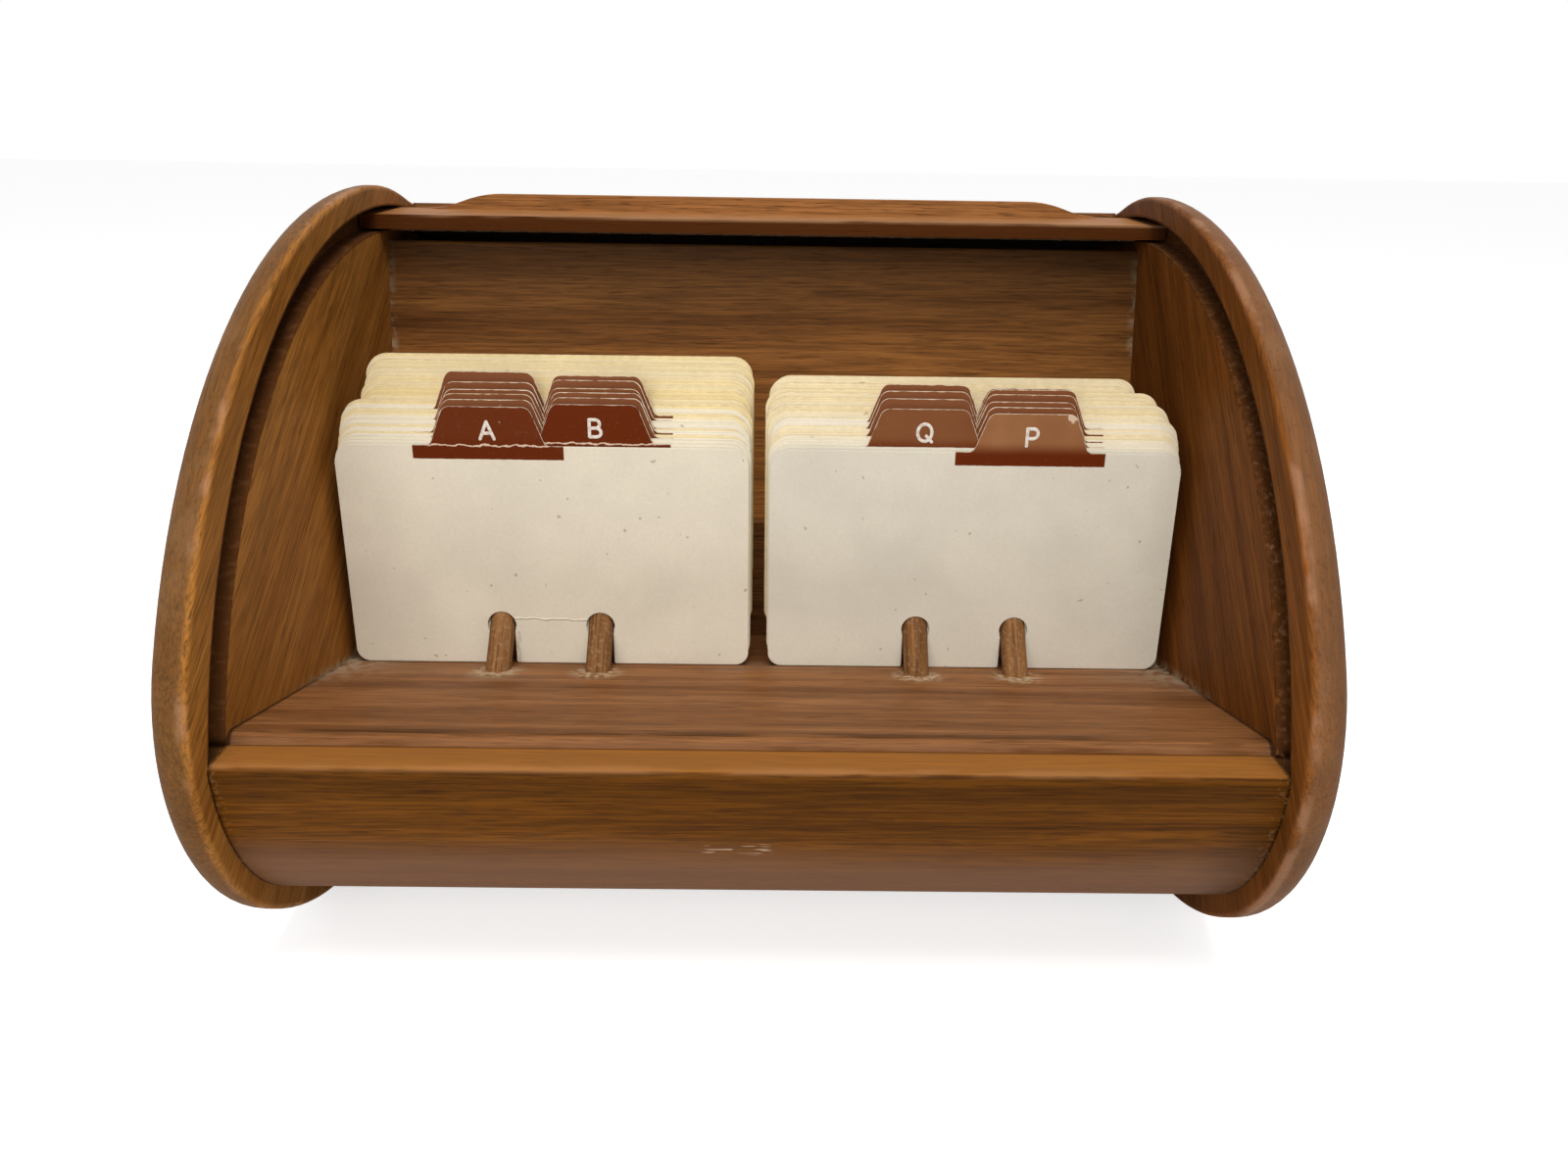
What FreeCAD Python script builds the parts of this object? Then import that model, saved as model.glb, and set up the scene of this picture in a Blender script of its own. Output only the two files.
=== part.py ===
import FreeCAD, Part
import math
import os

# A roll-top card file: two rounded wooden sides carry a tilted floor and an inner back, four dowel
# pegs hold two stacks of punched cards, and a slatted curtain runs in curved grooves over them.
#
# X runs to the right, Y to the back and Z up, in millimetres. The sections of the case are drawn
# in the Y-Z plane with Y = 0 on the axis of the curved grooves and Z = 0 on the table. At the end
# every piece is moved along Y, so that the origin is under the middle of the case.

# Driving dimensions: cards and their stacks
card_w = 101.6              # card width
card_h = 57.15              # card height, without its tab
card_t = 0.3                # card thickness
card_pitch = 0.6            # from one card to the next, square to the cards
card_corner = 5.0           # radius of the card's upper corners
card_foot = 2.0             # radius of the card's lower corners
card_lean = 5.5             # degrees that the cards lean back
card_side_gap = 3.0         # from a stack to the side panel
stack_gap = 5.2             # between the two stacks
card_floor_gap = 0.2        # under the front cards
hole_rise = 10.3            # centre of the card's holes above its lower edge
hole_spacing = 25.4         # between the two holes of a card
hole_play = 1.05            # card hole wider than the peg
slot_play = 0.25            # slot below the hole wider than the peg
peg_play = 0.3              # free space between the top of a hole and its peg
tab_h = 9.5                 # height of an index tab above the card
tab_foot_w = 28.2           # tab width at its foot
tab_top_w = 20.0            # tab width at its top
tab_round = 1.8             # radius of the tab's upper corners
tab_first_x = -13.0         # middle of the tab in the left position, from the card's middle
tab_second_x = 13.2         # middle of the tab in the right position
left_index_count = 12       # index cards in the left stack
left_blank_count = 17       # blank cards behind them
right_index_count = 11      # index cards in the right stack
right_blank_count = 13      # blank cards behind them

# Driving dimensions: pegs
peg_d = 6.35                # peg diameter
peg_floor_angle = 60.0      # degrees between a peg and the floor panel
peg_place = 57.0            # from the floor's front edge to the peg, along the floor
peg_sink = 6.5              # length of a peg inside the floor panel
peg_tail = 9.0              # length of a peg behind the last card
peg_end = 0.8               # chamfer on a peg's free end
glue_play = 0.05            # radial play of glued pegs and dowels in their holes

# Driving dimensions: side panels and their grooves
side_t = 9.5                # side panel thickness
axis_height = 15.0          # groove axis above the table
groove_r = 145.0            # radius of the groove's outer wall
groove_w = 6.4              # groove width
groove_depth = 5.5          # groove depth in the side panel
groove_rear_angle = 6.0     # degrees above level where the groove ends at the back
groove_front_drop = 4.0     # groove end below the rail's ledge
rim_lip = 6.8               # from the groove to the rim over the front of the side
rim_forward = 2.8           # centre of the rim's curve in front of the groove axis
rim_drop = 1.0              # centre of the rim's curve below the groove axis
nose_drop = 5.0             # centre of the tight front curve below the rail's ledge
nose_r = 55.0               # radius of the tight front curve
foot_angle = 225.0          # degrees where the front curve turns into the foot curve
foot_bite = 2.0             # how much is planed off below the rounded rim, for the flat base
heel_r = 12.0               # radius of the lower rear corner
crest_r = 90.0              # radius of the rim where it turns down behind the top
rear_lip = 2.4              # from the groove to the rim over the rear of the side
rear_blend_r = 60.0         # hollow radius between those two
rim_round_out = 7.0         # rounding of the rim on its outer side
rim_round_in = 1.2          # rounding of the rim on its inner side

# Driving dimensions: floor, inner back and batten
floor_tilt = 15.0           # degrees that the floor falls to the back
floor_height = 70.0         # floor's front edge above the table
floor_gap = 0.2             # floor's front edge inside the groove's inner wall
floor_depth = 108.0         # floor from its front edge to the inner back
floor_t = 8.0               # floor thickness
floor_round = 2.4           # rounding of the floor's front edge
back_t = 8.0                # inner back thickness
back_top_gap = 2.6          # inner back's top inside the groove's inner wall
back_round = 1.0            # rounding of the inner back's top edge
batten_h = 34.5             # batten height along the inner back
batten_t = 6.35             # batten thickness
batten_gap = 0.4            # at each end of the batten

# Driving dimensions: rails and bottom
ledge_drop = 2.6            # rail's ledge below the floor's front edge
rail_set_back = 5.0         # rail's face inside the rim's tight front curve
rail_t = 12.0               # rail thickness in its curved part
rail_round = 2.0            # rounding of the ledge's front edge
rail_seat = 14.0            # length of the rail's seat under the floor
rail_drop = 43.4            # rail's lower edge below the centre of its face
rail_foot = 7.0             # depth of the rail's lower edge in front of the bottom panel
bottom_t = 3.0              # bottom panel thickness
bottom_lap = 6.0            # bottom panel's lap on each rail
rear_rail_t = 14.0          # rear rail thickness
rear_rail_low = 8.0         # rear rail's lower edge above the table
rear_rail_over = 4.0        # rear rail above the bottom panel

# Driving dimensions: outer back
stave_count = 9             # curved staves
stave_t = 2.0               # stave thickness
stave_gap = 0.3             # staves outside the groove
stave_front = 33.0          # front edge of the foremost stave behind the groove axis

# Driving dimensions: curtain
lead_depth = 21.4           # lead slat from front to back
slat_t = 3.8                # thickness of every slat
lead_seat = 0.8             # lead slat above the groove's inner wall
slat_seat = 1.8             # other slats above the groove's inner wall
slat_end_gap = 0.5          # slat end short of the groove's bottom
slat_count = 20             # slats behind the lead slat
slat_pitch = 3.42           # degrees from one slat to the next
slat_gap = 0.3              # between two slats
slat_round = 1.2            # rounding of a slat's outer edges
lip_t = 2.8                 # pull lip thickness
lip_h = 4.2                 # pull lip height
lip_half = 77.0             # half of the pull lip's full-height length
lip_run = 23.0              # length over which the lip dies out
canvas_t = 0.5              # canvas thickness
canvas_side_gap = 3.0       # canvas edge inside the side panel
canvas_set_back = 0.8       # canvas edge behind the lead slat's front
canvas_bend = 17.0          # where the canvas leaves the lead slat

# Driving dimensions: fastenings
dowel_d = 5.0               # joint dowel diameter
dowel_in_side = 6.0         # dowel length in the side panel
dowel_in_panel = 18.0       # dowel length in the floor, back or rail
dowel_room = 0.5            # free depth beyond each dowel end
floor_dowels = (25.0, 88.0) # places along the floor, from its front edge
back_dowels = (35.0, 90.0)  # places along the inner back, from the floor
rail_dowels = (198.0, 230.0)  # degrees about the centre of the rail's face
brad_d = 1.2                # brad shank diameter
brad_head_d = 2.4           # brad head diameter
brad_head_t = 0.6           # brad head thickness
brad_length = 10.0          # brad length
brad_row = (-90.0, -30.0, 30.0, 90.0)  # places of the brads across the case

# Sizes that follow from them
half = card_w + card_side_gap + stack_gap / 2
groove_in = groove_r - groove_w
side_out = half + side_t
hole_r = (peg_d + hole_play) / 2
slot_half = (peg_d + slot_play) / 2


# Points and edges of a section: y to the back, z up, x across
def at(y, z, x=0.0):
    return FreeCAD.Vector(x, y, z)


def polar(centre, r, angle, x=0.0):
    a = math.radians(angle)
    return at(centre.y + r * math.cos(a), centre.z + r * math.sin(a), x)


def line(a, b):
    return Part.LineSegment(a, b).toShape()


def arc(centre, r, start, end):
    middle = polar(centre, r, (start + end) / 2)
    return Part.Arc(polar(centre, r, start), middle, polar(centre, r, end)).toShape()


def angle_of(p, centre):
    return math.degrees(math.atan2(p.z - centre.z, p.y - centre.y))


def prism(edges, x0, x1):
    face = Part.Face(Part.Wire(edges))
    face.translate(FreeCAD.Vector(x0, 0, 0))
    return face.extrude(FreeCAD.Vector(x1 - x0, 0, 0))


def polygon(points):
    return [line(a, b) for a, b in zip(points, points[1:] + points[:1])]


def rod(start, direction, length, r):
    return Part.makeCylinder(r, length, start, direction)


def round_edges(solid, radius, wanted):
    return solid.makeFillet(radius, [e for e in solid.Edges if wanted(e)])


def mirrored(shape):
    return shape.mirror(FreeCAD.Vector(0, 0, 0), FreeCAD.Vector(1, 0, 0))


# The floor's line and the inner back's line, square to it
axis = at(0, axis_height)
floor_r = groove_in - floor_gap
floor_front = at(-math.sqrt(floor_r ** 2 - (floor_height - axis_height) ** 2), floor_height)
tilt = math.radians(floor_tilt)
along = at(math.cos(tilt), -math.sin(tilt))
square = at(math.sin(tilt), math.cos(tilt))
corner = floor_front + along * floor_depth
reach = corner - axis
back_top_r = groove_in - back_top_gap
back_h = -reach.dot(square) + math.sqrt(reach.dot(square) ** 2 - reach.Length ** 2 + back_top_r ** 2)

# Side panel outline: rim curve, tight front curve, foot, flat base, rear curve and crest
rim_c = at(-rim_forward, axis_height - rim_drop)
rim_r = groove_r + rim_lip
ledge_z = floor_height - ledge_drop
nose_rise = ledge_z - nose_drop - rim_c.z
nose_angle = 180 - math.degrees(math.asin(nose_rise / (rim_r - nose_r)))
nose_c = polar(rim_c, rim_r - nose_r, nose_angle)
foot_sin = math.sin(math.radians(foot_angle))
foot_r = (nose_c.z + nose_r * foot_sin + foot_bite) / (1 + foot_sin)
foot_c = polar(nose_c, foot_r - nose_r, foot_angle + 180)
crest_c = at(rim_c.y, rim_c.z + rim_r - crest_r)
rear_r = groove_r + rear_lip

# The hollow blend touches the crest's circle and the rear circle from outside
to_crest = crest_r + rear_blend_r
to_axis = rear_r + rear_blend_r
between = (crest_c - axis).Length
toward = (crest_c - axis) / between
foot_of = (to_axis ** 2 - to_crest ** 2 + between ** 2) / (2 * between)
aside = math.sqrt(to_axis ** 2 - foot_of ** 2)
blend_c = axis + toward * foot_of + at(toward.z, -toward.y) * aside
crest_end = angle_of(blend_c, crest_c)
rear_start = angle_of(blend_c, axis)
heel_c = at(rear_r - heel_r, heel_r - foot_bite)
outline = [
    arc(rim_c, rim_r, 90, nose_angle),
    arc(nose_c, nose_r, nose_angle, foot_angle),
    arc(foot_c, foot_r, foot_angle, 270),
    line(polar(foot_c, foot_r, 270), polar(heel_c, heel_r, 270)),
    arc(heel_c, heel_r, 270, 360),
    line(polar(heel_c, heel_r, 0), polar(axis, rear_r, 0)),
    arc(axis, rear_r, 0, rear_start),
    arc(blend_c, rear_blend_r, rear_start + 180, crest_end + 180),
    arc(crest_c, crest_r, crest_end, 90),
]

# Where the joint dowels go, in the floor, the inner back and the two rails
rail_c = nose_c
rail_bottom = rail_c.z - rail_drop
rail_r = nose_r - rail_set_back
stave_in = groove_r + stave_gap
stave_out = stave_in + stave_t
bottom_z = rail_bottom + bottom_t
rear_rail_top = bottom_z + rear_rail_over
floor_holes = [floor_front + along * s - square * (floor_t / 2) for s in floor_dowels]
back_holes = [corner + square * s + along * (back_t / 2) for s in back_dowels]
rail_holes = [polar(rail_c, rail_r - rail_t / 2, a) for a in rail_dowels]
rear_holes = [at(stave_in - rear_rail_t / 2, (rear_rail_low + rail_bottom) / 2)]
dowel_places = floor_holes + back_holes + rail_holes + rear_holes


def dowel_bores(places):
    length = dowel_in_side + dowel_in_panel + 2 * dowel_room
    bores = []
    for p in places:
        start = at(p.y, p.z, half - dowel_in_panel - dowel_room)
        bores.append(rod(start, at(0, 0, 1), length, dowel_d / 2 + glue_play))
    return bores + [mirrored(bore) for bore in bores]


# Right side panel: the outer edge of its rim is rounded wide, the inner edge a little
def on_rim(x):
    def wanted(edge):
        middle = edge.CenterOfMass
        return abs(middle.x - x) < 1e-6 and edge.BoundBox.XLength < 1e-6
    return wanted


side = prism(outline, half, side_out)
side = round_edges(side, rim_round_out, on_rim(side_out))
side = round_edges(side, rim_round_in, on_rim(half))
below = Part.makeBox(2 * side_t, 4 * rear_r, 4 * foot_bite, at(-2 * rear_r, -4 * foot_bite, half - side_t))
side = side.cut(below)

# Curved groove with round ends, from below the ledge at the front to the rear
groove_mid = groove_r - groove_w / 2
groove_end_z = ledge_z - groove_front_drop + groove_w / 2
front_end = 180 - math.degrees(math.asin((groove_end_z - axis_height) / groove_mid))
front_tip = polar(axis, groove_mid, front_end)
rear_tip = polar(axis, groove_mid, groove_rear_angle)
groove_edges = [
    arc(axis, groove_r, groove_rear_angle, front_end),
    arc(front_tip, groove_w / 2, front_end, front_end + 180),
    arc(axis, groove_in, front_end, groove_rear_angle),
    arc(rear_tip, groove_w / 2, groove_rear_angle + 180, groove_rear_angle + 360),
]
side = side.cut(prism(groove_edges, half - 1, half + groove_depth))
right_side = side.cut(Part.makeCompound(dowel_bores(dowel_places)))
left_side = mirrored(right_side)

# Floor panel with a rounded front edge and four slanted blind holes for the pegs
floor_low = floor_front - square * floor_t
floor_panel = prism(polygon([floor_front, corner, corner - square * floor_t, floor_low]), -half, half)
floor_panel = round_edges(
    floor_panel,
    floor_round,
    lambda e: (e.CenterOfMass - floor_front).Length < 1e-6,
)
peg_world = math.radians(peg_floor_angle - floor_tilt)
peg_way = at(math.cos(peg_world), math.sin(peg_world))
peg_root = floor_front + along * peg_place
stack_x = stack_gap / 2 + card_w / 2
peg_xs = [side * stack_x + step * hole_spacing / 2 for side in (-1, 1) for step in (-1, 1)]
for x in peg_xs:
    bottom = peg_root - peg_way * peg_sink + at(0, 0, x)
    floor_panel = floor_panel.cut(rod(bottom, peg_way, 2 * peg_sink, peg_d / 2 + glue_play))
floor_panel = floor_panel.cut(Part.makeCompound(dowel_bores(floor_holes)))

# Inner back, square to the floor, and the batten that stands in front of it
back_low = corner - square * floor_t
back_high = corner + square * back_h
inner_back = prism(
    polygon([back_low, back_high, back_high + along * back_t, back_low + along * back_t]),
    -half,
    half,
)
inner_back = round_edges(
    inner_back,
    back_round,
    lambda e: (e.CenterOfMass - back_high).Length < 1e-6,
)
inner_back = inner_back.cut(Part.makeCompound(dowel_bores(back_holes)))
batten_top = corner + square * batten_h
back_batten = prism(
    polygon([corner, batten_top, batten_top - along * batten_t, corner - along * batten_t]),
    -half + batten_gap,
    half - batten_gap,
)
back_batten = round_edges(
    back_batten,
    back_round,
    lambda e: (e.CenterOfMass - batten_top + along * batten_t).Length < 1e-6,
)

# Front rail: a ledge, a seat under the floor, a face that follows the sides' front curve
ledge_front = at(rail_c.y - math.sqrt(rail_r ** 2 - (ledge_z - rail_c.z) ** 2), ledge_z)
ledge_back = floor_front - square * (ledge_drop / math.cos(tilt))
seat_end = floor_low + along * rail_seat
rail_in = rail_r - rail_t
rail_low = at(rail_c.y - math.sqrt(rail_r ** 2 - (rail_c.z - rail_bottom) ** 2), rail_bottom)
lap_start = rail_low + at(rail_foot, 0)
lap_end = lap_start + at(bottom_lap, 0)
inner_low = at(lap_end.y, rail_c.z - math.sqrt(rail_in ** 2 - (lap_end.y - rail_c.y) ** 2))
inner_high = at(seat_end.y, rail_c.z - math.sqrt(rail_in ** 2 - (seat_end.y - rail_c.y) ** 2))
front_rail = prism(
    [
        arc(rail_c, rail_r, angle_of(ledge_front, rail_c), 360 + angle_of(rail_low, rail_c)),
        line(rail_low, lap_start),
        line(lap_start, lap_start + at(0, bottom_t)),
        line(lap_start + at(0, bottom_t), lap_end + at(0, bottom_t)),
        line(lap_end + at(0, bottom_t), inner_low),
        arc(rail_c, rail_in, 360 + angle_of(inner_low, rail_c), 360 + angle_of(inner_high, rail_c)),
        line(inner_high, seat_end),
        line(seat_end, floor_low),
        line(floor_low, ledge_back),
        line(ledge_back, ledge_front),
    ],
    -half,
    half,
)
front_rail = round_edges(
    front_rail,
    rail_round,
    lambda e: (e.CenterOfMass - ledge_front).Length < 1e-6,
)
front_rail = front_rail.cut(Part.makeCompound(dowel_bores(rail_holes)))

# Rear rail: its back follows the inside of the outer back
rear_in = stave_in - rear_rail_t
rear_rise = math.degrees(math.asin((rear_rail_top - axis_height) / stave_in))
rear_rail = prism(
    [
        line(at(rear_in + bottom_lap, rear_rail_low), at(stave_in, rear_rail_low)),
        line(at(stave_in, rear_rail_low), at(stave_in, axis_height)),
        arc(axis, stave_in, 0, rear_rise),
        line(polar(axis, stave_in, rear_rise), at(rear_in, rear_rail_top)),
        line(at(rear_in, rear_rail_top), at(rear_in, bottom_z)),
        line(at(rear_in, bottom_z), at(rear_in + bottom_lap, bottom_z)),
        line(at(rear_in + bottom_lap, bottom_z), at(rear_in + bottom_lap, rear_rail_low)),
    ],
    -half,
    half,
)
rear_rail = rear_rail.cut(Part.makeCompound(dowel_bores(rear_holes)))

# Bottom panel, lapped under both rails and held by brads from below
bottom_front = lap_start.y
bottom_rear = rear_in + bottom_lap
bottom_panel = Part.makeBox(
    2 * half,
    bottom_rear - bottom_front,
    bottom_t,
    at(bottom_front, rail_bottom, -half),
)
brads = []
for y in (bottom_front + bottom_lap / 2, bottom_rear - bottom_lap / 2):
    for x in brad_row:
        shank = rod(at(y, rail_bottom, x), at(0, 1), brad_length, brad_d / 2)
        brads.append(shank.fuse(rod(at(y, rail_bottom, x), at(0, 1), brad_head_t, brad_head_d / 2)))
bottom_brads = Part.makeCompound(brads)
bottom_panel = bottom_panel.cut(bottom_brads)
front_rail = front_rail.cut(bottom_brads)
rear_rail = rear_rail.cut(bottom_brads)

# Joint dowels in the ends of the floor, the inner back and both rails
dowels = []
for p in dowel_places:
    start = at(p.y, p.z, half - dowel_in_panel)
    dowels.append(rod(start, at(0, 0, 1), dowel_in_side + dowel_in_panel, dowel_d / 2))
joint_dowels = Part.makeCompound(dowels + [mirrored(dowel) for dowel in dowels])

# Outer back: staves glued edge to edge around the curtain's store
stave_top = math.degrees(math.acos(stave_front / stave_in))
stave_step = stave_top / stave_count
staves = []
for i in range(stave_count):
    high = stave_top - i * stave_step
    low = high - stave_step
    edges = [
        arc(axis, stave_in, high, low),
        line(polar(axis, stave_in, low), polar(axis, stave_out, low)),
        arc(axis, stave_out, low, high),
        line(polar(axis, stave_out, high), polar(axis, stave_in, high)),
    ]
    staves.append(prism(edges, -half, half))

# Lead slat: a flat board in the grooves, with a pull lip that dies out at both ends
slat_half = half + groove_depth - slat_end_gap
lead_z = axis_height + groove_in + lead_seat
lead_slat = Part.makeBox(2 * slat_half, lead_depth, slat_t, at(0, lead_z, -slat_half))
lip_base = lead_z + slat_t
lip_y = lead_depth - lip_t
lip_tip = lip_half + lip_run
quarter = at(lip_y, lip_base + lip_h / 2, lip_half + lip_run / 2)
bow_r = ((lip_run / 2) ** 2 + (lip_h / 2) ** 2) / lip_h
bow = math.atan2(lip_run / 2, bow_r - lip_h / 2) / 2
rise = bow_r * (1 - math.cos(bow))
lip_edges = []
for s in (1, -1):
    high_mid = at(lip_y, lip_base + lip_h - rise, s * (lip_half + bow_r * math.sin(bow)))
    low_mid = at(lip_y, lip_base + rise, s * (lip_tip - bow_r * math.sin(bow)))
    turn = at(lip_y, quarter.z, s * quarter.x)
    top = at(lip_y, lip_base + lip_h, s * lip_half)
    tip = at(lip_y, lip_base, s * lip_tip)
    lip_edges.append(Part.Arc(top, high_mid, turn).toShape())
    lip_edges.append(Part.Arc(turn, low_mid, tip).toShape())
lip_edges.append(line(at(lip_y, lip_base + lip_h, -lip_half), at(lip_y, lip_base + lip_h, lip_half)))
lip_edges.append(line(at(lip_y, lip_base, -lip_tip), at(lip_y, lip_base, lip_tip)))
lip_wire = Part.Wire(Part.__sortEdges__(lip_edges))
pull_lip = Part.Face(lip_wire).extrude(at(lip_t, 0))
lead_slat = lead_slat.fuse(pull_lip).removeSplitter()

# The other slats: flat inside, rounded at their outer edges, each turned to its place
slat_in = groove_in + slat_seat
slat_out = slat_in + slat_t
slat_w = slat_in * math.radians(slat_pitch) - slat_gap
lead_end = math.degrees(math.atan2(lead_z - axis_height, lead_depth))
first_slat = lead_end - math.degrees((slat_gap + slat_w / 2) / slat_in)
slat_blank = Part.makeBox(2 * slat_half, slat_w, slat_t, at(-slat_w / 2, axis_height + slat_in, -slat_half))
slat_blank = round_edges(
    slat_blank,
    slat_round,
    lambda e: e.BoundBox.XLength > 1 and abs(e.CenterOfMass.z - axis_height - slat_out) < 1e-6,
)
slats = []
for i in range(slat_count):
    slat = slat_blank.copy()
    slat.rotate(axis, at(0, 0, 1), first_slat - i * slat_pitch - 90)
    slats.append(slat)

# Canvas: glued flat under the lead slat, then bent on to the inner faces of the slats
canvas_half = half - canvas_side_gap
canvas_in = slat_in - canvas_t
tail = first_slat - (slat_count - 1) * slat_pitch - math.degrees(slat_w / 2 / slat_in)
join = first_slat - math.degrees(slat_w / 2 / slat_in) / 3
canvas_edges = [
    line(at(canvas_set_back, lead_z), at(canvas_bend, lead_z)),
    line(at(canvas_bend, lead_z), polar(axis, slat_in, join)),
    arc(axis, slat_in, join, tail),
    line(polar(axis, slat_in, tail), polar(axis, canvas_in, tail)),
    arc(axis, canvas_in, tail, join),
    line(polar(axis, canvas_in, join), at(canvas_bend, lead_z - canvas_t)),
    line(at(canvas_bend, lead_z - canvas_t), at(canvas_set_back, lead_z - canvas_t)),
    line(at(canvas_set_back, lead_z - canvas_t), at(canvas_set_back, lead_z)),
]
tambour_canvas = prism(canvas_edges, -canvas_half, canvas_half)

# Card outline, drawn flat: u across from the card's middle, v up from its lower edge
slot_top = hole_rise - math.sqrt(hole_r ** 2 - slot_half ** 2)


def card_edges(tab_x):
    w = card_w / 2
    p = lambda u, v: FreeCAD.Vector(u, v, 0)
    edges = []
    pen = [p(-w + card_foot, 0)]

    def to(u, v):
        edges.append(line(pen[0], p(u, v)))
        pen[0] = p(u, v)

    def bend(cu, cv, r, start, end):
        where = lambda a: p(cu + r * math.cos(math.radians(a)), cv + r * math.sin(math.radians(a)))
        edges.append(Part.Arc(where(start), where((start + end) / 2), where(end)).toShape())
        pen[0] = where(end)

    for hole in (-hole_spacing / 2, hole_spacing / 2):
        to(hole - slot_half, 0)
        to(hole - slot_half, slot_top)
        neck = math.degrees(math.asin((hole_rise - slot_top) / hole_r))
        bend(hole, hole_rise, hole_r, 180 + neck, -neck)
        to(hole + slot_half, 0)
    to(w - card_foot, 0)
    bend(w - card_foot, card_foot, card_foot, -90, 0)
    to(w, card_h - card_corner)
    bend(w - card_corner, card_h - card_corner, card_corner, 0, 90)
    if tab_x is not None:
        slope = math.degrees(math.atan2(tab_h, (tab_foot_w - tab_top_w) / 2))
        cut = tab_round / math.tan(math.radians(90 - slope / 2))
        to(tab_x + tab_foot_w / 2, card_h)
        a = math.radians(slope)
        to(tab_x + tab_top_w / 2 + cut * math.cos(a), card_h + tab_h - cut * math.sin(a))
        bend(tab_x + tab_top_w / 2 - cut, card_h + tab_h - tab_round, tab_round, 90 - slope, 90)
        to(tab_x - tab_top_w / 2 + cut, card_h + tab_h)
        bend(tab_x - tab_top_w / 2 + cut, card_h + tab_h - tab_round, tab_round, 90, 90 + slope)
        to(tab_x - tab_foot_w / 2, card_h)
    to(-w + card_corner, card_h)
    bend(-w + card_corner, card_h - card_corner, card_corner, 90, 180)
    to(-w, card_foot)
    bend(-w + card_foot, card_foot, card_foot, 180, 270)
    return edges


def flat_card(tab_x):
    return Part.Face(Part.Wire(card_edges(tab_x))).extrude(FreeCAD.Vector(0, 0, -card_t))


# A card stands with its holes on the pegs, and each one behind it sits further up the pegs
lean = math.radians(card_lean)
card_up = at(math.sin(lean), math.cos(lean))
card_back = at(math.cos(lean), -math.sin(lean))
crossing = peg_world - (math.pi / 2 - lean)
cross_rise = hole_rise + hole_r - peg_play - peg_d / 2 / math.sin(-crossing)
offset = square * card_floor_gap + card_up * cross_rise - along * peg_place
turn = lambda a, b: a.y * b.z - a.z * b.y
peg_run = turn(offset, along) / turn(peg_way, along)
card_place = turn(offset, peg_way) / turn(peg_way, along)
card_step = card_pitch / card_back.dot(peg_way)
card_root = floor_front + along * card_place + square * card_floor_gap


def placed_card(x, number, tab_x=None):
    p = card_root + peg_way * (number * card_step) + at(0, 0, x)
    m = FreeCAD.Matrix(
        1, 0, 0, p.x,
        0, card_up.y, -card_back.y, p.y,
        0, card_up.z, -card_back.z, p.z,
        0, 0, 0, 1,
    )
    card = flat_card(tab_x)
    card.Placement = FreeCAD.Placement(m)
    return card


def stack(x, index_count, blank_count, first_tab, second_tab):
    tabs = [(first_tab, second_tab)[i % 2] for i in range(index_count)]
    index = [placed_card(x, i, tab) for i, tab in enumerate(tabs)]
    blank = [placed_card(x, index_count + i) for i in range(blank_count)]
    return index, blank


left_index, left_blank = stack(
    -stack_x, left_index_count, left_blank_count, tab_first_x, tab_second_x)
right_index, right_blank = stack(
    stack_x, right_index_count, right_blank_count, tab_second_x, tab_first_x)

# Pegs: from the floor, through every card's hole, to a little behind the last card
last_card = max(left_index_count + left_blank_count, right_index_count + right_blank_count)
peg_length = peg_sink + peg_run + last_card * card_step + peg_tail
pegs = []
for x in peg_xs:
    start = peg_root - peg_way * peg_sink + at(0, 0, x)
    tip = start + peg_way * (peg_length - peg_end)
    shank = rod(start, peg_way, peg_length - peg_end, peg_d / 2)
    pegs.append(shank.fuse(Part.makeCone(peg_d / 2, peg_d / 2 - peg_end, peg_end, tip, peg_way)))

# One file for each piece
pieces = {
    "left_side": left_side,
    "right_side": right_side,
    "floor_panel": floor_panel,
    "inner_back": inner_back,
    "back_batten": back_batten,
    "front_rail": front_rail,
    "rear_rail": rear_rail,
    "bottom_panel": bottom_panel,
    "joint_dowels": joint_dowels,
    "bottom_brads": bottom_brads,
    "lead_slat": lead_slat,
    "tambour_canvas": tambour_canvas,
    "peg_left_outer": pegs[0],
    "peg_left_inner": pegs[1],
    "peg_right_inner": pegs[2],
    "peg_right_outer": pegs[3],
    "index_card_a": left_index[0],
    "index_card_b": left_index[1],
    "index_cards_left": Part.makeCompound(left_index[2:]),
    "blank_cards_left": Part.makeCompound(left_blank),
    "index_card_p": right_index[0],
    "index_card_q": right_index[1],
    "index_cards_right": Part.makeCompound(right_index[2:]),
    "blank_cards_right": Part.makeCompound(right_blank),
}
for i, stave in enumerate(staves):
    pieces["outer_back_%02d" % (i + 1)] = stave
for i, slat in enumerate(slats):
    pieces["tambour_slat_%02d" % (i + 1)] = slat

# The origin goes under the middle of the case, between the rim's foremost and rearmost points
to_middle = at(-(nose_c.y - nose_r + rear_r) / 2, 0)
os.makedirs("parts", exist_ok=True)
for name, piece in pieces.items():
    piece.translate(to_middle)
    piece.exportStep("parts/" + name + ".step")
print("groove axis at y %.3f z %.3f" % (to_middle.y, axis_height))
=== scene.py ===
import math
from collections import namedtuple

import bpy
import numpy as np
from mathutils import Matrix


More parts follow.
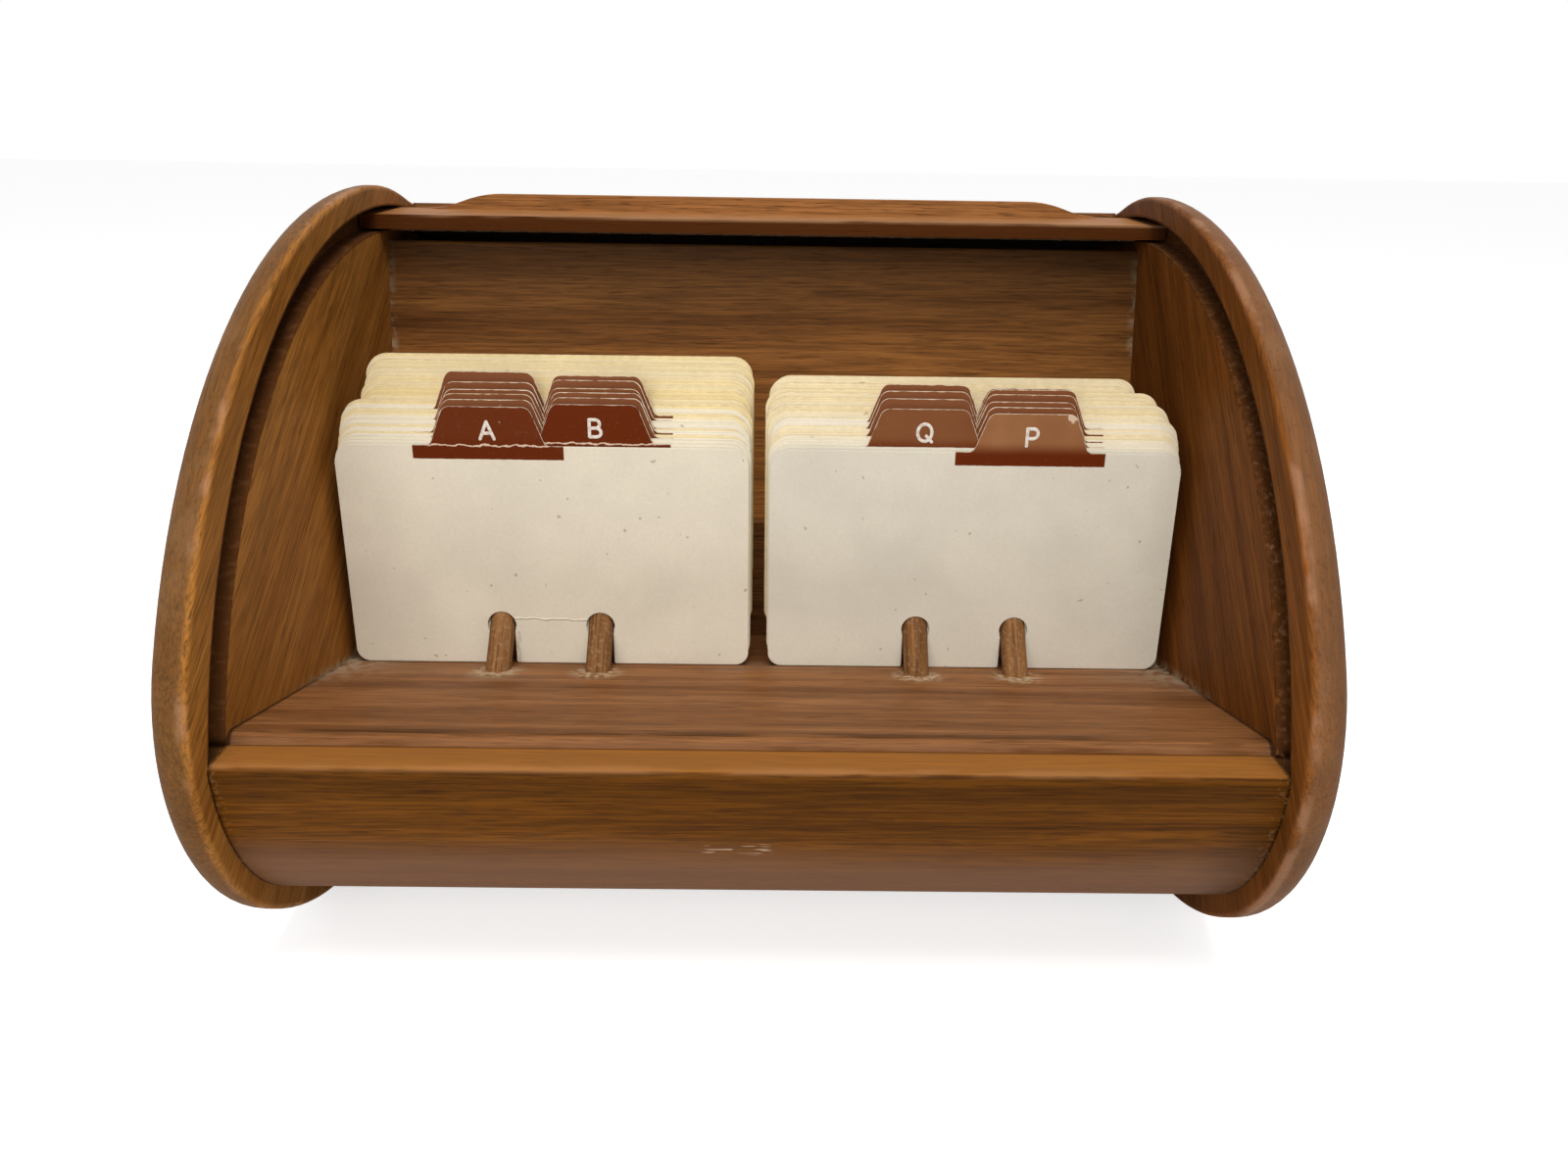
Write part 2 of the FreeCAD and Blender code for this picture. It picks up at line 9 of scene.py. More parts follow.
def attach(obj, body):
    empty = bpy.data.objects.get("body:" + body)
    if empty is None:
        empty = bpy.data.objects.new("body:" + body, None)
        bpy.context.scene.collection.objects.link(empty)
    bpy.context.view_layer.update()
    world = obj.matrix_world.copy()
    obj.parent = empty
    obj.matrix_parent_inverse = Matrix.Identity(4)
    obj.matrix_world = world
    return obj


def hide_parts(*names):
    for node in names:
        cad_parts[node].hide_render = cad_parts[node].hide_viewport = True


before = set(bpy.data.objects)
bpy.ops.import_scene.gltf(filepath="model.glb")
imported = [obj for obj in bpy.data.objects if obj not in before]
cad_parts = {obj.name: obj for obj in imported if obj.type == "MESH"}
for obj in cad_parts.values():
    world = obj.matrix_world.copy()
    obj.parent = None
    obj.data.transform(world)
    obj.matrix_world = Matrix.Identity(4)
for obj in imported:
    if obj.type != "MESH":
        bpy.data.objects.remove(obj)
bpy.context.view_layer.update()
scene = bpy.context.scene
mm = 0.001


# The view
# The photograph was taken from just above the front, a hand's breadth over
# the rim, with a wide lens that looks 24 degrees down on the pegs.
def stand(name, data, right, up, back, place):
    """Puts a new object at a place in metres, with its own X, Y and Z along right, up and back."""
    thing = bpy.data.objects.new(name, data)
    rows = [[right[i], up[i], back[i], place[i]] for i in range(3)]
    thing.matrix_world = Matrix(rows + [[0, 0, 0, 1]])
    scene.collection.objects.link(thing)
    return thing


eye = np.array([4.0, -319.9, 189.1]) * mm
heading, dip, tip = 0.010, 0.423, 0.016
film_width, photo_width, focal_length = 36.0, 1600, 1110
ahead = np.array([math.sin(heading) * math.cos(dip), math.cos(heading) * math.cos(dip), -math.sin(dip)])
level = np.array([math.cos(heading), -math.sin(heading), 0.0])
over = np.cross(level, ahead)
across = math.cos(tip) * level + math.sin(tip) * over
upward = math.cos(tip) * over - math.sin(tip) * level
camera_data = bpy.data.cameras.new("camera")
camera_data.lens = film_width * focal_length / photo_width
camera_data.sensor_width = film_width
camera_data.clip_start = 0.01
scene.camera = stand("camera", camera_data, across, upward, -ahead, eye)
scene.view_settings.view_transform = "Standard"


# The studio
# A pale table under soft white light: one broad lamp overhead, a weaker one
# low in front to the left, and an even white room around them.
def add(tree, kind, wires=None, **settings):
    """Puts a node into a tree, joins or sets the inputs named in wires, and gives the node back."""
    node = tree.nodes.new(kind)
    for key, value in settings.items():
        setattr(node, key, value)
    for key, value in (wires or {}).items():
        if isinstance(value, bpy.types.NodeSocket):
            tree.links.new(value, node.inputs[key])
        else:
            node.inputs[key].default_value = value
    return node


def sums(tree, how, first, second=0.0, third=0.0):
    """One step of arithmetic on numbers: the named sum of its first, second and third terms."""
    return add(tree, "ShaderNodeMath", {0: first, 1: second, 2: third}, operation=how).outputs[0]


def tint(tree, share, under, over, how="MIX"):
    """Lays one colour over another in the given share."""
    node = add(tree, "ShaderNodeMix", {0: share, 6: under, 7: over}, data_type="RGBA", blend_type=how)
    return node.outputs[2]


def place_on(tree):
    """The place on the piece itself, in metres."""
    return add(tree, "ShaderNodeTexCoord").outputs["Object"]


def noise(tree, place, scale, detail=2.0, rough=0.5):
    """Noise from 0 to 1, with scale grains to each unit of the place."""
    wires = {"Vector": place, "Scale": scale, "Detail": detail, "Roughness": rough}
    return add(tree, "ShaderNodeTexNoise", wires).outputs[0]


white = (1, 1, 1, 1)
room = bpy.data.worlds.new("white_room")
room.use_nodes = True
scene.world = room
walls = room.node_tree
walls.nodes.clear()
seen = add(walls, "ShaderNodeLightPath").outputs
showing = sums(walls, "MAXIMUM", seen["Is Camera Ray"], seen["Is Transmission Ray"])
showing = sums(walls, "MAXIMUM", showing, seen["Is Glossy Ray"])
fill_light = add(walls, "ShaderNodeBackground", {"Color": white, "Strength": 0.34})
backdrop = add(walls, "ShaderNodeBackground", {"Color": white, "Strength": 1.0})
either = add(walls, "ShaderNodeMixShader", {0: showing, 1: fill_light.outputs[0], 2: backdrop.outputs[0]})
add(walls, "ShaderNodeOutputWorld", {"Surface": either.outputs[0]})


lamp_width, card_fronts = 460, (0, -50, 60)


def lamp(name, place, power, colour):
    """A square soft lamp at a place in millimetres, turned to face the fronts of the cards."""
    light = bpy.data.lights.new(name, "AREA")
    light.size, light.energy, light.color = lamp_width * mm, power, colour
    back = np.subtract(place, card_fronts)
    back = back / np.linalg.norm(back)
    side = np.cross([0, 0, 1], back)
    side = side / np.linalg.norm(side)
    stand(name, light, side, np.cross(back, side), back, np.multiply(place, mm))


lamp("ceiling", (60, -330, 900), 5.9, (1.0, 0.985, 0.965))
lamp("window", (-160, -760, 420), 2.2, (1.0, 0.99, 0.975))


def new_piece(name, points, faces):
    """An object from an array of points in millimetres and a list of the faces between them."""
    mesh = bpy.data.meshes.new(name)
    mesh.from_pydata((np.reshape(points, (-1, 3)) * mm).tolist(), [], faces)
    piece = bpy.data.objects.new(name, mesh)
    scene.collection.objects.link(piece)
    return piece


def new_material(name):
    """A material and its node tree, emptied for nodes of its own."""
    material = bpy.data.materials.new(name)
    material.use_nodes = True
    material.node_tree.nodes.clear()
    return material, material.node_tree


reach = 3000.0
table_corners = [(-reach, -reach, 0), (reach, -reach, 0), (reach, reach, 0), (-reach, reach, 0)]
table = new_piece("table", table_corners, [(0, 1, 2, 3)])
table_paint, brush = new_material("table_paint")
shade = tint(brush, noise(brush, place_on(brush), 30.0), (0.86, 0.86, 0.86, 1), (0.88, 0.88, 0.88, 1))
wires = {"Base Color": shade, "Roughness": 0.8, "Specular IOR Level": 0.2}
matt = add(brush, "ShaderNodeBsdfPrincipled", wires)
looked_at = add(brush, "ShaderNodeLightPath").outputs["Is Camera Ray"]
shine = sums(brush, "MULTIPLY", looked_at, 0.62)
glow = add(brush, "ShaderNodeEmission", {"Color": white, "Strength": shine})
both = add(brush, "ShaderNodeAddShader", {0: matt.outputs[0], 1: glow.outputs[0]})
add(brush, "ShaderNodeOutputMaterial", {"Surface": both.outputs[0]})
table.data.materials.append(table_paint)


# The two sides
# Each side is one thick oiled board, its grain leaning back, with a fully
# rounded rim. A router has cut the curtain's groove round the inner face
# and left it dark and furred.
def times(tree, first, *others):
    """The product of several numbers. For shares, it is full where every one of them is full."""
    for other in others:
        first = sums(tree, "MULTIPLY", first, other)
    return first


def rise(tree, value, low, high, bottom=0.0, top=1.0):
    """A soft step: bottom while the value is at low or short of it, top from high on, and between them the
    smooth curve of three squares less two cubes. Where high is under low, it is top on the lower side."""
    wires = {0: value, 1: low, 2: high, 3: bottom, 4: top}
    return add(tree, "ShaderNodeMapRange", wires, interpolation_type="SMOOTHSTEP").outputs[0]


def stirred(tree, value, stir, width):
    """A value moved up and down by noise: the noise less a half, times the width, is added to it."""
    return sums(tree, "MULTIPLY_ADD", sums(tree, "SUBTRACT", stir, 0.5), width, value)


def distance(tree, first, first_place, second, second_place):
    """The way from a place to a point: the root of the sum of the squares of its two parts."""
    parts = [sums(tree, "SUBTRACT", first, first_place), sums(tree, "SUBTRACT", second, second_place)]
    squares = [sums(tree, "POWER", part, 2.0) for part in parts]
    return sums(tree, "SQRT", sums(tree, "ADD", *squares))


def stretched(tree, place, shares):
    """A place with each of its three parts multiplied by its own share."""
    return add(tree, "ShaderNodeVectorMath", {0: place, 1: shares}, operation="MULTIPLY").outputs[0]


def shaded(tree, colour, amount):
    """A colour multiplied by a number."""
    grey = add(tree, "ShaderNodeCombineXYZ", {0: amount, 1: amount, 2: amount}).outputs[0]
    return tint(tree, 1.0, colour, grey, "MULTIPLY")


def in_millimetres(tree, place):
    """A place in metres turned into millimetres, as a whole and as its x, y and z."""
    scaled = add(tree, "ShaderNodeVectorMath", {0: place, 3: 1000.0}, operation="SCALE").outputs[0]
    return scaled, add(tree, "ShaderNodeSeparateXYZ", {0: scaled}).outputs


def dented(tree, height, depth, strength):
    """The surface's lie where a height from 0 to 1 stands for a relief of the given depth in millimetres."""
    wires = {"Height": height, "Distance": depth * mm, "Strength": strength}
    return add(tree, "ShaderNodeBump", wires).outputs[0]


def surface(tree, **wires):
    """Ends a material: one shader with the given inputs, whose names have underscores for their spaces."""
    wires = {key.replace("_", " "): value for key, value in wires.items()}
    shader = add(tree, "ShaderNodeBsdfPrincipled", wires)
    add(tree, "ShaderNodeOutputMaterial", {"Surface": shader.outputs[0]})


def open_group(name, **starts):
    """A group of nodes with the named inputs, which gives back Color, Roughness and Height. An input that
    starts as a tuple is a colour, as a number is a number, and as None is a place."""
    group = bpy.data.node_groups.new(name, "ShaderNodeTree")
    kinds = {tuple: "NodeSocketColor", float: "NodeSocketFloat", type(None): "NodeSocketVector"}
    for label, start in starts.items():
        socket = group.interface.new_socket(label, in_out="INPUT", socket_type=kinds[type(start)])
        if start is not None:
            socket.default_value = start
    for label, kind in (("Color", tuple), ("Roughness", float), ("Height", float)):
        group.interface.new_socket(label, in_out="OUTPUT", socket_type=kinds[kind])
    return group, group.nodes.new("NodeGroupInput").outputs


def timber_grain():
    """Oiled timber with its fibres along X: growth bands are noise stretched far along X, and on them lie
    fine fibres, short dark pores and slow patches of lighter and darker stain."""
    group, given = open_group("timber_grain", Place=None, Pale=(0.3, 0.12, 0.04, 1),
                              Deep=(0.12, 0.04, 0.01, 1), Bands=190.0, Contrast=1.0, Pores=0.5)
    long = stretched(group, given["Place"], (0.030, 1, 1))
    sway = add(group, "ShaderNodeTexNoise", {"Vector": long, "Scale": 26.0, "Detail": 2.0}).outputs["Color"]
    wires = {0: sway, 1: (0, 0.022, 0.022), 2: long}
    swayed = add(group, "ShaderNodeVectorMath", wires, operation="MULTIPLY_ADD").outputs[0]
    bands = noise(group, swayed, given["Bands"], 3.0, 0.62)
    slow = noise(group, swayed, 34.0, 1.0)
    fibre = noise(group, swayed, 1650.0, 3.0, 0.7)
    pore = noise(group, stretched(group, given["Place"], (0.055, 1, 1)), 2100.0, 1.0)
    pore = times(group, rise(group, pore, 0.57, 0.70), given["Pores"])
    lit = sums(group, "ADD", times(group, bands, 0.62), times(group, slow, 0.38))
    lit = stirred(group, 0.5, lit, given["Contrast"])
    colour = tint(group, rise(group, lit, 0.28, 0.72), given["Deep"], given["Pale"])
    colour = shaded(group, colour, rise(group, fibre, 0.36, 0.64, 0.72, 1.22))
    colour = tint(group, pore, colour, (0.030, 0.011, 0.004, 1))
    height = sums(group, "SUBTRACT", times(group, fibre, 0.45), times(group, pore, 0.8))
    rough = sums(group, "MULTIPLY_ADD", fibre, 0.16, 0.42)
    rough = sums(group, "MULTIPLY_ADD", pore, 0.2, rough)
    add(group, "NodeGroupOutput", {"Color": colour, "Roughness": rough, "Height": height})
    return group


grain = timber_grain()


class Wood:
    """A timber finish in the making. Its grain is turned, in degrees, to run along one board."""

    def __init__(self, name, pale, deep, turn=(0, 0, 0), shift=(0, 0, 0), bands=190.0, contrast=1.0,
                 pores=0.5):
        self.material, self.tree = new_material(name)
        self.place = place_on(self.tree)
        wires = {"Vector": self.place, "Location": shift, "Rotation": tuple(map(math.radians, turn))}
        turned = add(self.tree, "ShaderNodeMapping", wires).outputs[0]
        wires = {"Place": turned, "Pale": (*pale, 1), "Deep": (*deep, 1), "Bands": bands,
                 "Contrast": contrast, "Pores": pores}
        timber = add(self.tree, "ShaderNodeGroup", wires, node_tree=grain)
        self.colour, self.rough, self.height = timber.outputs
        _, (self.x, self.y, self.z) = in_millimetres(self.tree, self.place)
        self.wide = sums(self.tree, "ABSOLUTE", self.x)

    def noise(self, scale, detail=2.0, stretch=(1, 1, 1)):
        """Noise from 0 to 1 on the board, with scale grains to the metre."""
        return noise(self.tree, stretched(self.tree, self.place, stretch), scale, detail)

    def step(self, value, low, high, bottom=0.0, top=1.0):
        return rise(self.tree, value, low, high, bottom, top)

    def patches(self, scale, low, high, detail=2.0, stretch=(1, 1, 1)):
        """The share of the board where its noise is high: none at low, all of it from high on."""
        return self.step(self.noise(scale, detail, stretch), low, high)

    def sums(self, how, first, second=0.0, third=0.0):
        return sums(self.tree, how, first, second, third)

    def times(self, *values):
        return times(self.tree, *values)

    def paint(self, share, colour, rough):
        """Paints a colour and a roughness over the timber in the given share."""
        self.colour = tint(self.tree, share, self.colour, (*colour, 1))
        gap = self.sums("SUBTRACT", rough, self.rough)
        self.rough = self.sums("MULTIPLY_ADD", gap, share, self.rough)

    def darken(self, share, amount):
        """Multiplies the colour down by the amount where the share is full."""
        self.colour = shaded(self.tree, self.colour, self.sums("MULTIPLY_ADD", share, amount - 1.0, 1.0))

    def finish(self, relief=0.10):
        surface(self.tree, Base_Color=self.colour, Roughness=self.rough, Specular_IOR_Level=0.05,
                Normal=dented(self.tree, self.height, relief, 1.0))
        return self.material


def dress(material, name):
    """Gives a material to every slot of the named part of the frame."""
    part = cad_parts[name]
    if not part.material_slots:
        part.data.materials.append(material)
    for place in part.material_slots:
        place.material = material


inner_face, groove_bottom = 107.2, 112.7
axis_y, axis_z, groove_in, groove_out = -2.884, 15.0, 138.6, 145.0
groove_front_z, groove_rear_z = 66.6, 28.0
floor_front, floor_high, floor_slope = -131.33, 70.0, math.tan(math.radians(15.0))
fur_dark, fur_light, scraped = (0.090, 0.031, 0.008), (0.155, 0.064, 0.021), (0.270, 0.150, 0.075)
rubbed_arris_and_highlight, side_dust = (0.40, 0.215, 0.125), (0.44, 0.35, 0.23)


def side_board(name, pale, deep, lean, shift, rim, rim_tone, ragged):
    """One side's finish. The inner face is plain, with its grain leaning back by lean degrees. From the inner
    arris outwards the board is worn to the rim's colour, darkened by rim_tone. The groove is dark and furred,
    and its inner edge wanders by as much as ragged millimetres. Dust lies along the floor."""
    wood = Wood(name, pale, deep, turn=(lean, 0, 90), shift=shift, bands=150.0, pores=0.40)
    outside = wood.step(wood.wide, inner_face + 0.3, inner_face + 2.0)
    wood.paint(wood.times(outside, 0.42), rim, 0.46)
    wood.darken(outside, rim_tone)
    wood.paint(wood.times(outside, wood.patches(60.0, 0.50, 0.74, 3.0), 0.30), scraped, 0.52)
    # The inner arris is painted pale in streaks: rubbed wear and a painted highlight along the rounded edge.
    arris = wood.times(wood.step(wood.wide, inner_face, inner_face + 0.5),
                       wood.step(wood.wide, inner_face + 2.8, inner_face + 1.4))
    wood.paint(wood.times(arris, wood.patches(75.0, 0.48, 0.62, 3.0), 0.40), rubbed_arris_and_highlight, 0.42)
    wood.darken(wood.times(outside, wood.patches(900.0, 0.58, 0.70)), 0.80)

    from_axis = distance(wood.tree, wood.y, axis_y, wood.z, axis_z)
    inner_edge = wood.sums("MULTIPLY_ADD", wood.noise(700.0, 3.0), ragged, groove_in - 0.6 - ragged / 2)
    groove_foot = wood.step(wood.y, -60.0, -40.0, groove_front_z, groove_rear_z)
    groove = wood.times(wood.step(wood.sums("SUBTRACT", from_axis, inner_edge), 0.0, 0.5),
                        wood.step(from_axis, groove_out + 0.6, groove_out + 0.2),
                        wood.step(wood.sums("SUBTRACT", wood.z, groove_foot), 0.0, 1.0),
                        wood.step(wood.wide, groove_bottom + 0.4, groove_bottom + 0.2))
    wood.paint(groove, fur_dark, 0.92)
    hairs = wood.patches(900.0, 0.50, 0.66, 3.0, (0.4, 0.25, 1.0))
    wood.paint(wood.times(groove, hairs, 0.50), fur_light, 0.92)
    # Painted shade: the groove is darkened further where it opens at its front foot.
    shaded_groove_mouth = wood.times(groove, wood.step(wood.y, -100.0, -120.0),
                              wood.step(wood.z, groove_front_z + 2.9, groove_front_z + 0.9))
    wood.darken(shaded_groove_mouth, 0.15)

    above_floor = wood.sums("MULTIPLY_ADD", wood.y, floor_slope, -floor_front * floor_slope - floor_high)
    above_floor = wood.sums("ADD", wood.z, above_floor)
    dust = wood.times(wood.step(above_floor, 3.2, 0.0), wood.step(above_floor, -1.4, -0.4),
                      wood.step(wood.y, -110.0, -60.0), wood.patches(500.0, 0.35, 0.6),
                      wood.step(wood.wide, inner_face + 0.7, inner_face + 0.3))
    wood.paint(wood.times(dust, 0.72), side_dust, 0.9)
    return wood.finish()


# One timber on both sides, painted lighter on the left side as painted light and darker on the right side as
# painted shade.
left_wood = side_board("left_side_wood", (0.395, 0.168, 0.034), (0.240, 0.088, 0.014), lean=-33.0,
                       shift=(0.31, 0.07, 0.11), rim=(0.170, 0.088, 0.040), rim_tone=0.62, ragged=0.8)
right_wood = side_board("right_side_wood", (0.220, 0.074, 0.013), (0.105, 0.032, 0.005), lean=-46.0,
                        shift=(0.83, 0.52, 0.27), rim=(0.260, 0.135, 0.068), rim_tone=0.84, ragged=3.0)
dress(left_wood, "left_side")
dress(right_wood, "right_side")


# The floor
# The tilted floor is a board with its grain across the case. Its rounded
# nose is rubbed pale and carries a painted highlight, dust lies in the back
# corners and round the pegs, and a dark crack shows where it meets the sides.
floor = Wood("floor_wood", (0.285, 0.122, 0.044), (0.125, 0.045, 0.013), shift=(0.2, 0.4, 0.0), bands=170.0,
             pores=0.35)
# The nose's pale paint is rubbed wear and a painted highlight on the rounded edge.
nose = floor.step(floor.y, floor_front + 2.13, floor_front - 0.17)
worn = floor.patches(260.0, 0.30, 0.6, stretch=(0.2, 1, 1))
floor.paint(floor.times(nose, worn, 0.75), (0.34, 0.165, 0.080), 0.5)
nose_line = floor.times(floor.step(floor.y, floor_front + 5.33, floor_front + 4.13),
                        floor.step(floor.y, floor_front + 1.93, floor_front + 3.13))
floor.darken(floor.times(nose_line, floor.patches(60.0, 0.30, 0.5, stretch=(0.3, 1, 1))), 0.45)
floor.darken(floor.step(floor.wide, inner_face - 1.2, inner_face - 0.5), 0.22)
stack_x, hole_x, peg_foot_y = 53.4, 12.7, -77.5
for peg_x in (-stack_x - hole_x, -stack_x + hole_x, stack_x - hole_x, stack_x + hole_x):
    from_peg = distance(floor.tree, floor.x, peg_x, floor.y, peg_foot_y)
    powder = floor.times(floor.step(from_peg, 8.5, 3.0), floor.patches(620.0, 0.38, 0.60, 3.0), 0.78)
    floor.paint(powder, (0.46, 0.37, 0.24), 0.9)
corners = floor.times(floor.step(floor.wide, inner_face - 17.2, inner_face - 0.2),
                      floor.step(floor.y, -100.0, -70.0))
floor.paint(floor.times(corners, floor.patches(420.0, 0.36, 0.62, 3.0), 0.62), (0.40, 0.32, 0.22), 0.9)
film = floor.times(floor.step(floor.y, -104.0, -78.0), floor.patches(48.0, 0.45, 0.75, 4.0, (0.5, 1, 1)))
floor.paint(floor.times(film, 0.30), (0.34, 0.27, 0.19), 0.8)
dress(floor.finish(), "floor_panel")


# The inner back
# A dark board with a bold level grain leans back behind the cards. Glue has
# squeezed out pale along its two ends, and a batten covers its foot.
back = Wood("inner_back_wood", (0.285, 0.113, 0.028), (0.098, 0.033, 0.007), shift=(0.55, 0.1, 0.35),
            bands=95.0, contrast=1.5, pores=0.35)
glue = back.times(back.step(back.wide, inner_face - 2.6, inner_face - 0.2),
                  back.patches(330.0, 0.42, 0.62, 3.0))
back.paint(back.times(glue, 0.55), (0.42, 0.33, 0.21), 0.85)
# Painted shadow: the top of the back is darkened where the lead slat shades it.
shadowed_top = back.step(back.z, 116.0, 148.0)
back.darken(shadowed_top, 0.30)
# The right end is painted a little darker.
darker_right_end = back.step(back.x, 40.0, 105.0)
back.darken(darker_right_end, 0.80)
dress(back.finish(), "inner_back")

batten = Wood("batten_wood", (0.20, 0.080, 0.024), (0.09, 0.032, 0.009), shift=(0.15, 0.8, 0.2), bands=200.0)
dress(batten.finish(), "back_batten")


# The front rail
# The rail is shaped to a quarter round. Its top ledge is painted bright
# orange as a painted highlight, its upper edge is rubbed and carries a painted
# highlight too, the band under the ledge and its lower right end are darkened
# as painted shade, and its lower half is painted a greyer purple brown as a
# painted reflection of the pale table. The lower half is lightly scratched.
def gap(tree, value, place):
    """How far a value is from a place, on either side of it."""
    return sums(tree, "ABSOLUTE", sums(tree, "SUBTRACT", value, place))


ledge_z = 67.4
rail = Wood("front_rail_wood", (0.180, 0.061, 0.005), (0.082, 0.026, 0.002), shift=(0.9, 0.3, 0.6),
            bands=210.0, contrast=1.15, pores=0.40)
# Painted reflection: the lower half is painted greyer, standing in for the pale table's sheen.
lower_half_reflection = rail.step(stirred(rail.tree, rail.z, rail.noise(22.0, stretch=(0.5, 1, 1)), 14.0), 52.0, 40.0)
rail.paint(rail.times(lower_half_reflection, 0.62), (0.215, 0.108, 0.060), 0.52)
# Painted highlight: the lit top of the ledge is painted a paler orange.
ledge = rail.step(rail.z, ledge_z - 0.4, ledge_z - 0.1)
rail.paint(rail.times(ledge, 0.45), (0.420, 0.170, 0.042), 0.5)
seam = rail.times(ledge, rail.step(rail.y, floor_front - 0.07, floor_front + 0.83))
rail.darken(seam, 0.25)
# Painted shade: the band just under the ledge's nose is darkened.
shade_under_ledge = rail.times(rail.step(rail.z, 59.0, 62.0), rail.step(rail.z, ledge_z - 0.2, ledge_z - 0.5))
rail.darken(shade_under_ledge, 0.68)
# The ledge's front edge is painted paler: rubbed wear and a painted highlight.
upper_edge = rail.times(rail.step(rail.y, -136.0, -137.6), rail.step(rail.z, ledge_z - 0.8, ledge_z - 0.3))
worn = rail.patches(300.0, 0.40, 0.62, stretch=(0.2, 1, 1))
rail.paint(rail.times(upper_edge, worn, 0.40), (0.36, 0.165, 0.060), 0.5)
scratches = rail.times(rail.step(gap(rail.tree, rail.x, -3.0), 8.0, 5.0),
                       rail.step(gap(rail.tree, rail.z, 47.5), 2.4, 1.2),
                       rail.patches(1500.0, 0.58, 0.64, 1.0, (0.12, 1, 1.2)))
rail.paint(rail.times(scratches, 0.7), (0.55, 0.42, 0.29), 0.7)
rail.darken(rail.step(rail.wide, inner_face - 0.9, inner_face - 0.2), 0.35)
# Painted shade: the rail is darkened in patches at its lower right end, beside the side.
shaded_corner = rail.times(rail.step(rail.x, 88.0, 105.0), rail.step(rail.z, 62.0, 52.0))
rail.darken(rail.times(shaded_corner, rail.patches(40.0, 0.3, 0.6)), 0.62)
ends = rail.times(rail.step(rail.wide, inner_face - 3.6, inner_face - 0.8), rail.patches(1100.0, 0.52, 0.66))
rail.paint(rail.times(ends, 0.22), (0.33, 0.19, 0.09), 0.85)
dress(rail.finish(), "front_rail")


# Rear rail and underside
# The rear rail ties the heels of the sides together, and a thin plain panel
# pinned with small steel brads closes the case underneath.
rear = Wood("rear_rail_wood", (0.235, 0.098, 0.032), (0.115, 0.042, 0.012), shift=(0.4, 0.9, 0.1))
dress(rear.finish(), "rear_rail")
under = Wood("bottom_panel_wood", (0.330, 0.190, 0.090), (0.205, 0.105, 0.046), shift=(0.7, 0.2, 0.8),
             bands=110.0, contrast=0.8, pores=0.4)
dress(under.finish(), "bottom_panel")
dowels = Wood("dowel_wood", (0.40, 0.23, 0.10), (0.26, 0.13, 0.05), bands=300.0)
dress(dowels.finish(), "joint_dowels")

steel, metal = new_material("brad_steel")
stain = noise(metal, place_on(metal), 900.0)
surface(metal, Base_Color=tint(metal, stain, (0.36, 0.34, 0.32, 1), (0.62, 0.61, 0.60, 1)), Metallic=1.0,
        Roughness=rise(metal, stain, 0.3, 0.7, 0.30, 0.55))
dress(steel, "bottom_brads")


# The outer back
# Nine curved staves are glued edge to edge over the curtain's path. Each is
# from another strip of the same timber, with its grain across the case.
def toned(tone, *colours):
    """The given colours, all multiplied by the same tone."""
    return [tuple(tone * part for part in colour) for colour in colours]


for number, tone in enumerate((1.0, 0.90, 1.08, 0.94, 1.04, 0.88, 1.06, 0.96, 1.02)):
    stave = Wood("stave_wood_%02d" % (number + 1), *toned(tone, (0.262, 0.112, 0.038), (0.128, 0.047, 0.014)),
                 shift=(0.37 * number, 0.21 * number, 0.13 * number), bands=150.0, contrast=1.1)
    stave.darken(stave.step(stave.wide, inner_face - 1.2, inner_face - 0.1), 0.5)
    dress(stave.finish(), "outer_back_%02d" % (number + 1))


# The curtain's slats
# Twenty narrow slats run in the groove behind one wider lead slat, whose
# rear edge is swept up into a pull lip. The lead slat's top arris is rubbed
# light and carries a painted highlight, and its front edge is painted dark as
# painted shade.
lead = Wood("lead_slat_wood", (0.360, 0.155, 0.050), (0.225, 0.088, 0.024), shift=(0.6, 0.5, 0.3),
            bands=170.0)
# Painted shade: the front edge of the lead slat is painted nearly black.
shaded_front_edge = lead.step(lead.y, -1.7, -2.4)
lead.paint(lead.times(shaded_front_edge, 0.94), (0.060, 0.014, 0.001), 0.6)
# The top arris is painted pale: rubbed wear and a painted highlight.
top_arris = lead.times(lead.step(lead.z, 157.3, 158.0), lead.step(lead.y, -0.2, -1.0))
worn = lead.patches(200.0, 0.35, 0.6, stretch=(0.2, 1, 1))
lead.paint(lead.times(top_arris, worn, 0.55), (0.45, 0.235, 0.110), 0.5)
dress(lead.finish(), "lead_slat")

slat_names = ["tambour_slat_%02d" % (number + 1) for number in range(20)]
for number, name in enumerate(slat_names):
    tone = 0.90 + 0.20 * (number * 7 % 11) / 10.0
    slat = Wood("slat_wood_%02d" % (number + 1), *toned(tone, (0.270, 0.118, 0.042), (0.140, 0.052, 0.016)),
                shift=(0.29 * number, 0.17 * number, 0.23 * number), bands=180.0)
    dress(slat.finish(), name)


# The curtain's canvas
# A strip of brown canvas is glued under all the slats and is what lets them
# bend round the groove. Its cut front edge has frayed under the lead slat.
def grid_faces(order, closed=False):
    """The squares of four neighbours in an array of point numbers, rows by columns. In a closed one the last
    column meets the first."""
    if closed:
        order = np.concatenate([order, order[..., :1]], -1)
    squares = [order[..., :-1, :-1], order[..., :-1, 1:], order[..., 1:, 1:], order[..., 1:, :-1]]
    return np.stack(squares, -1).reshape(-1, 4).tolist()


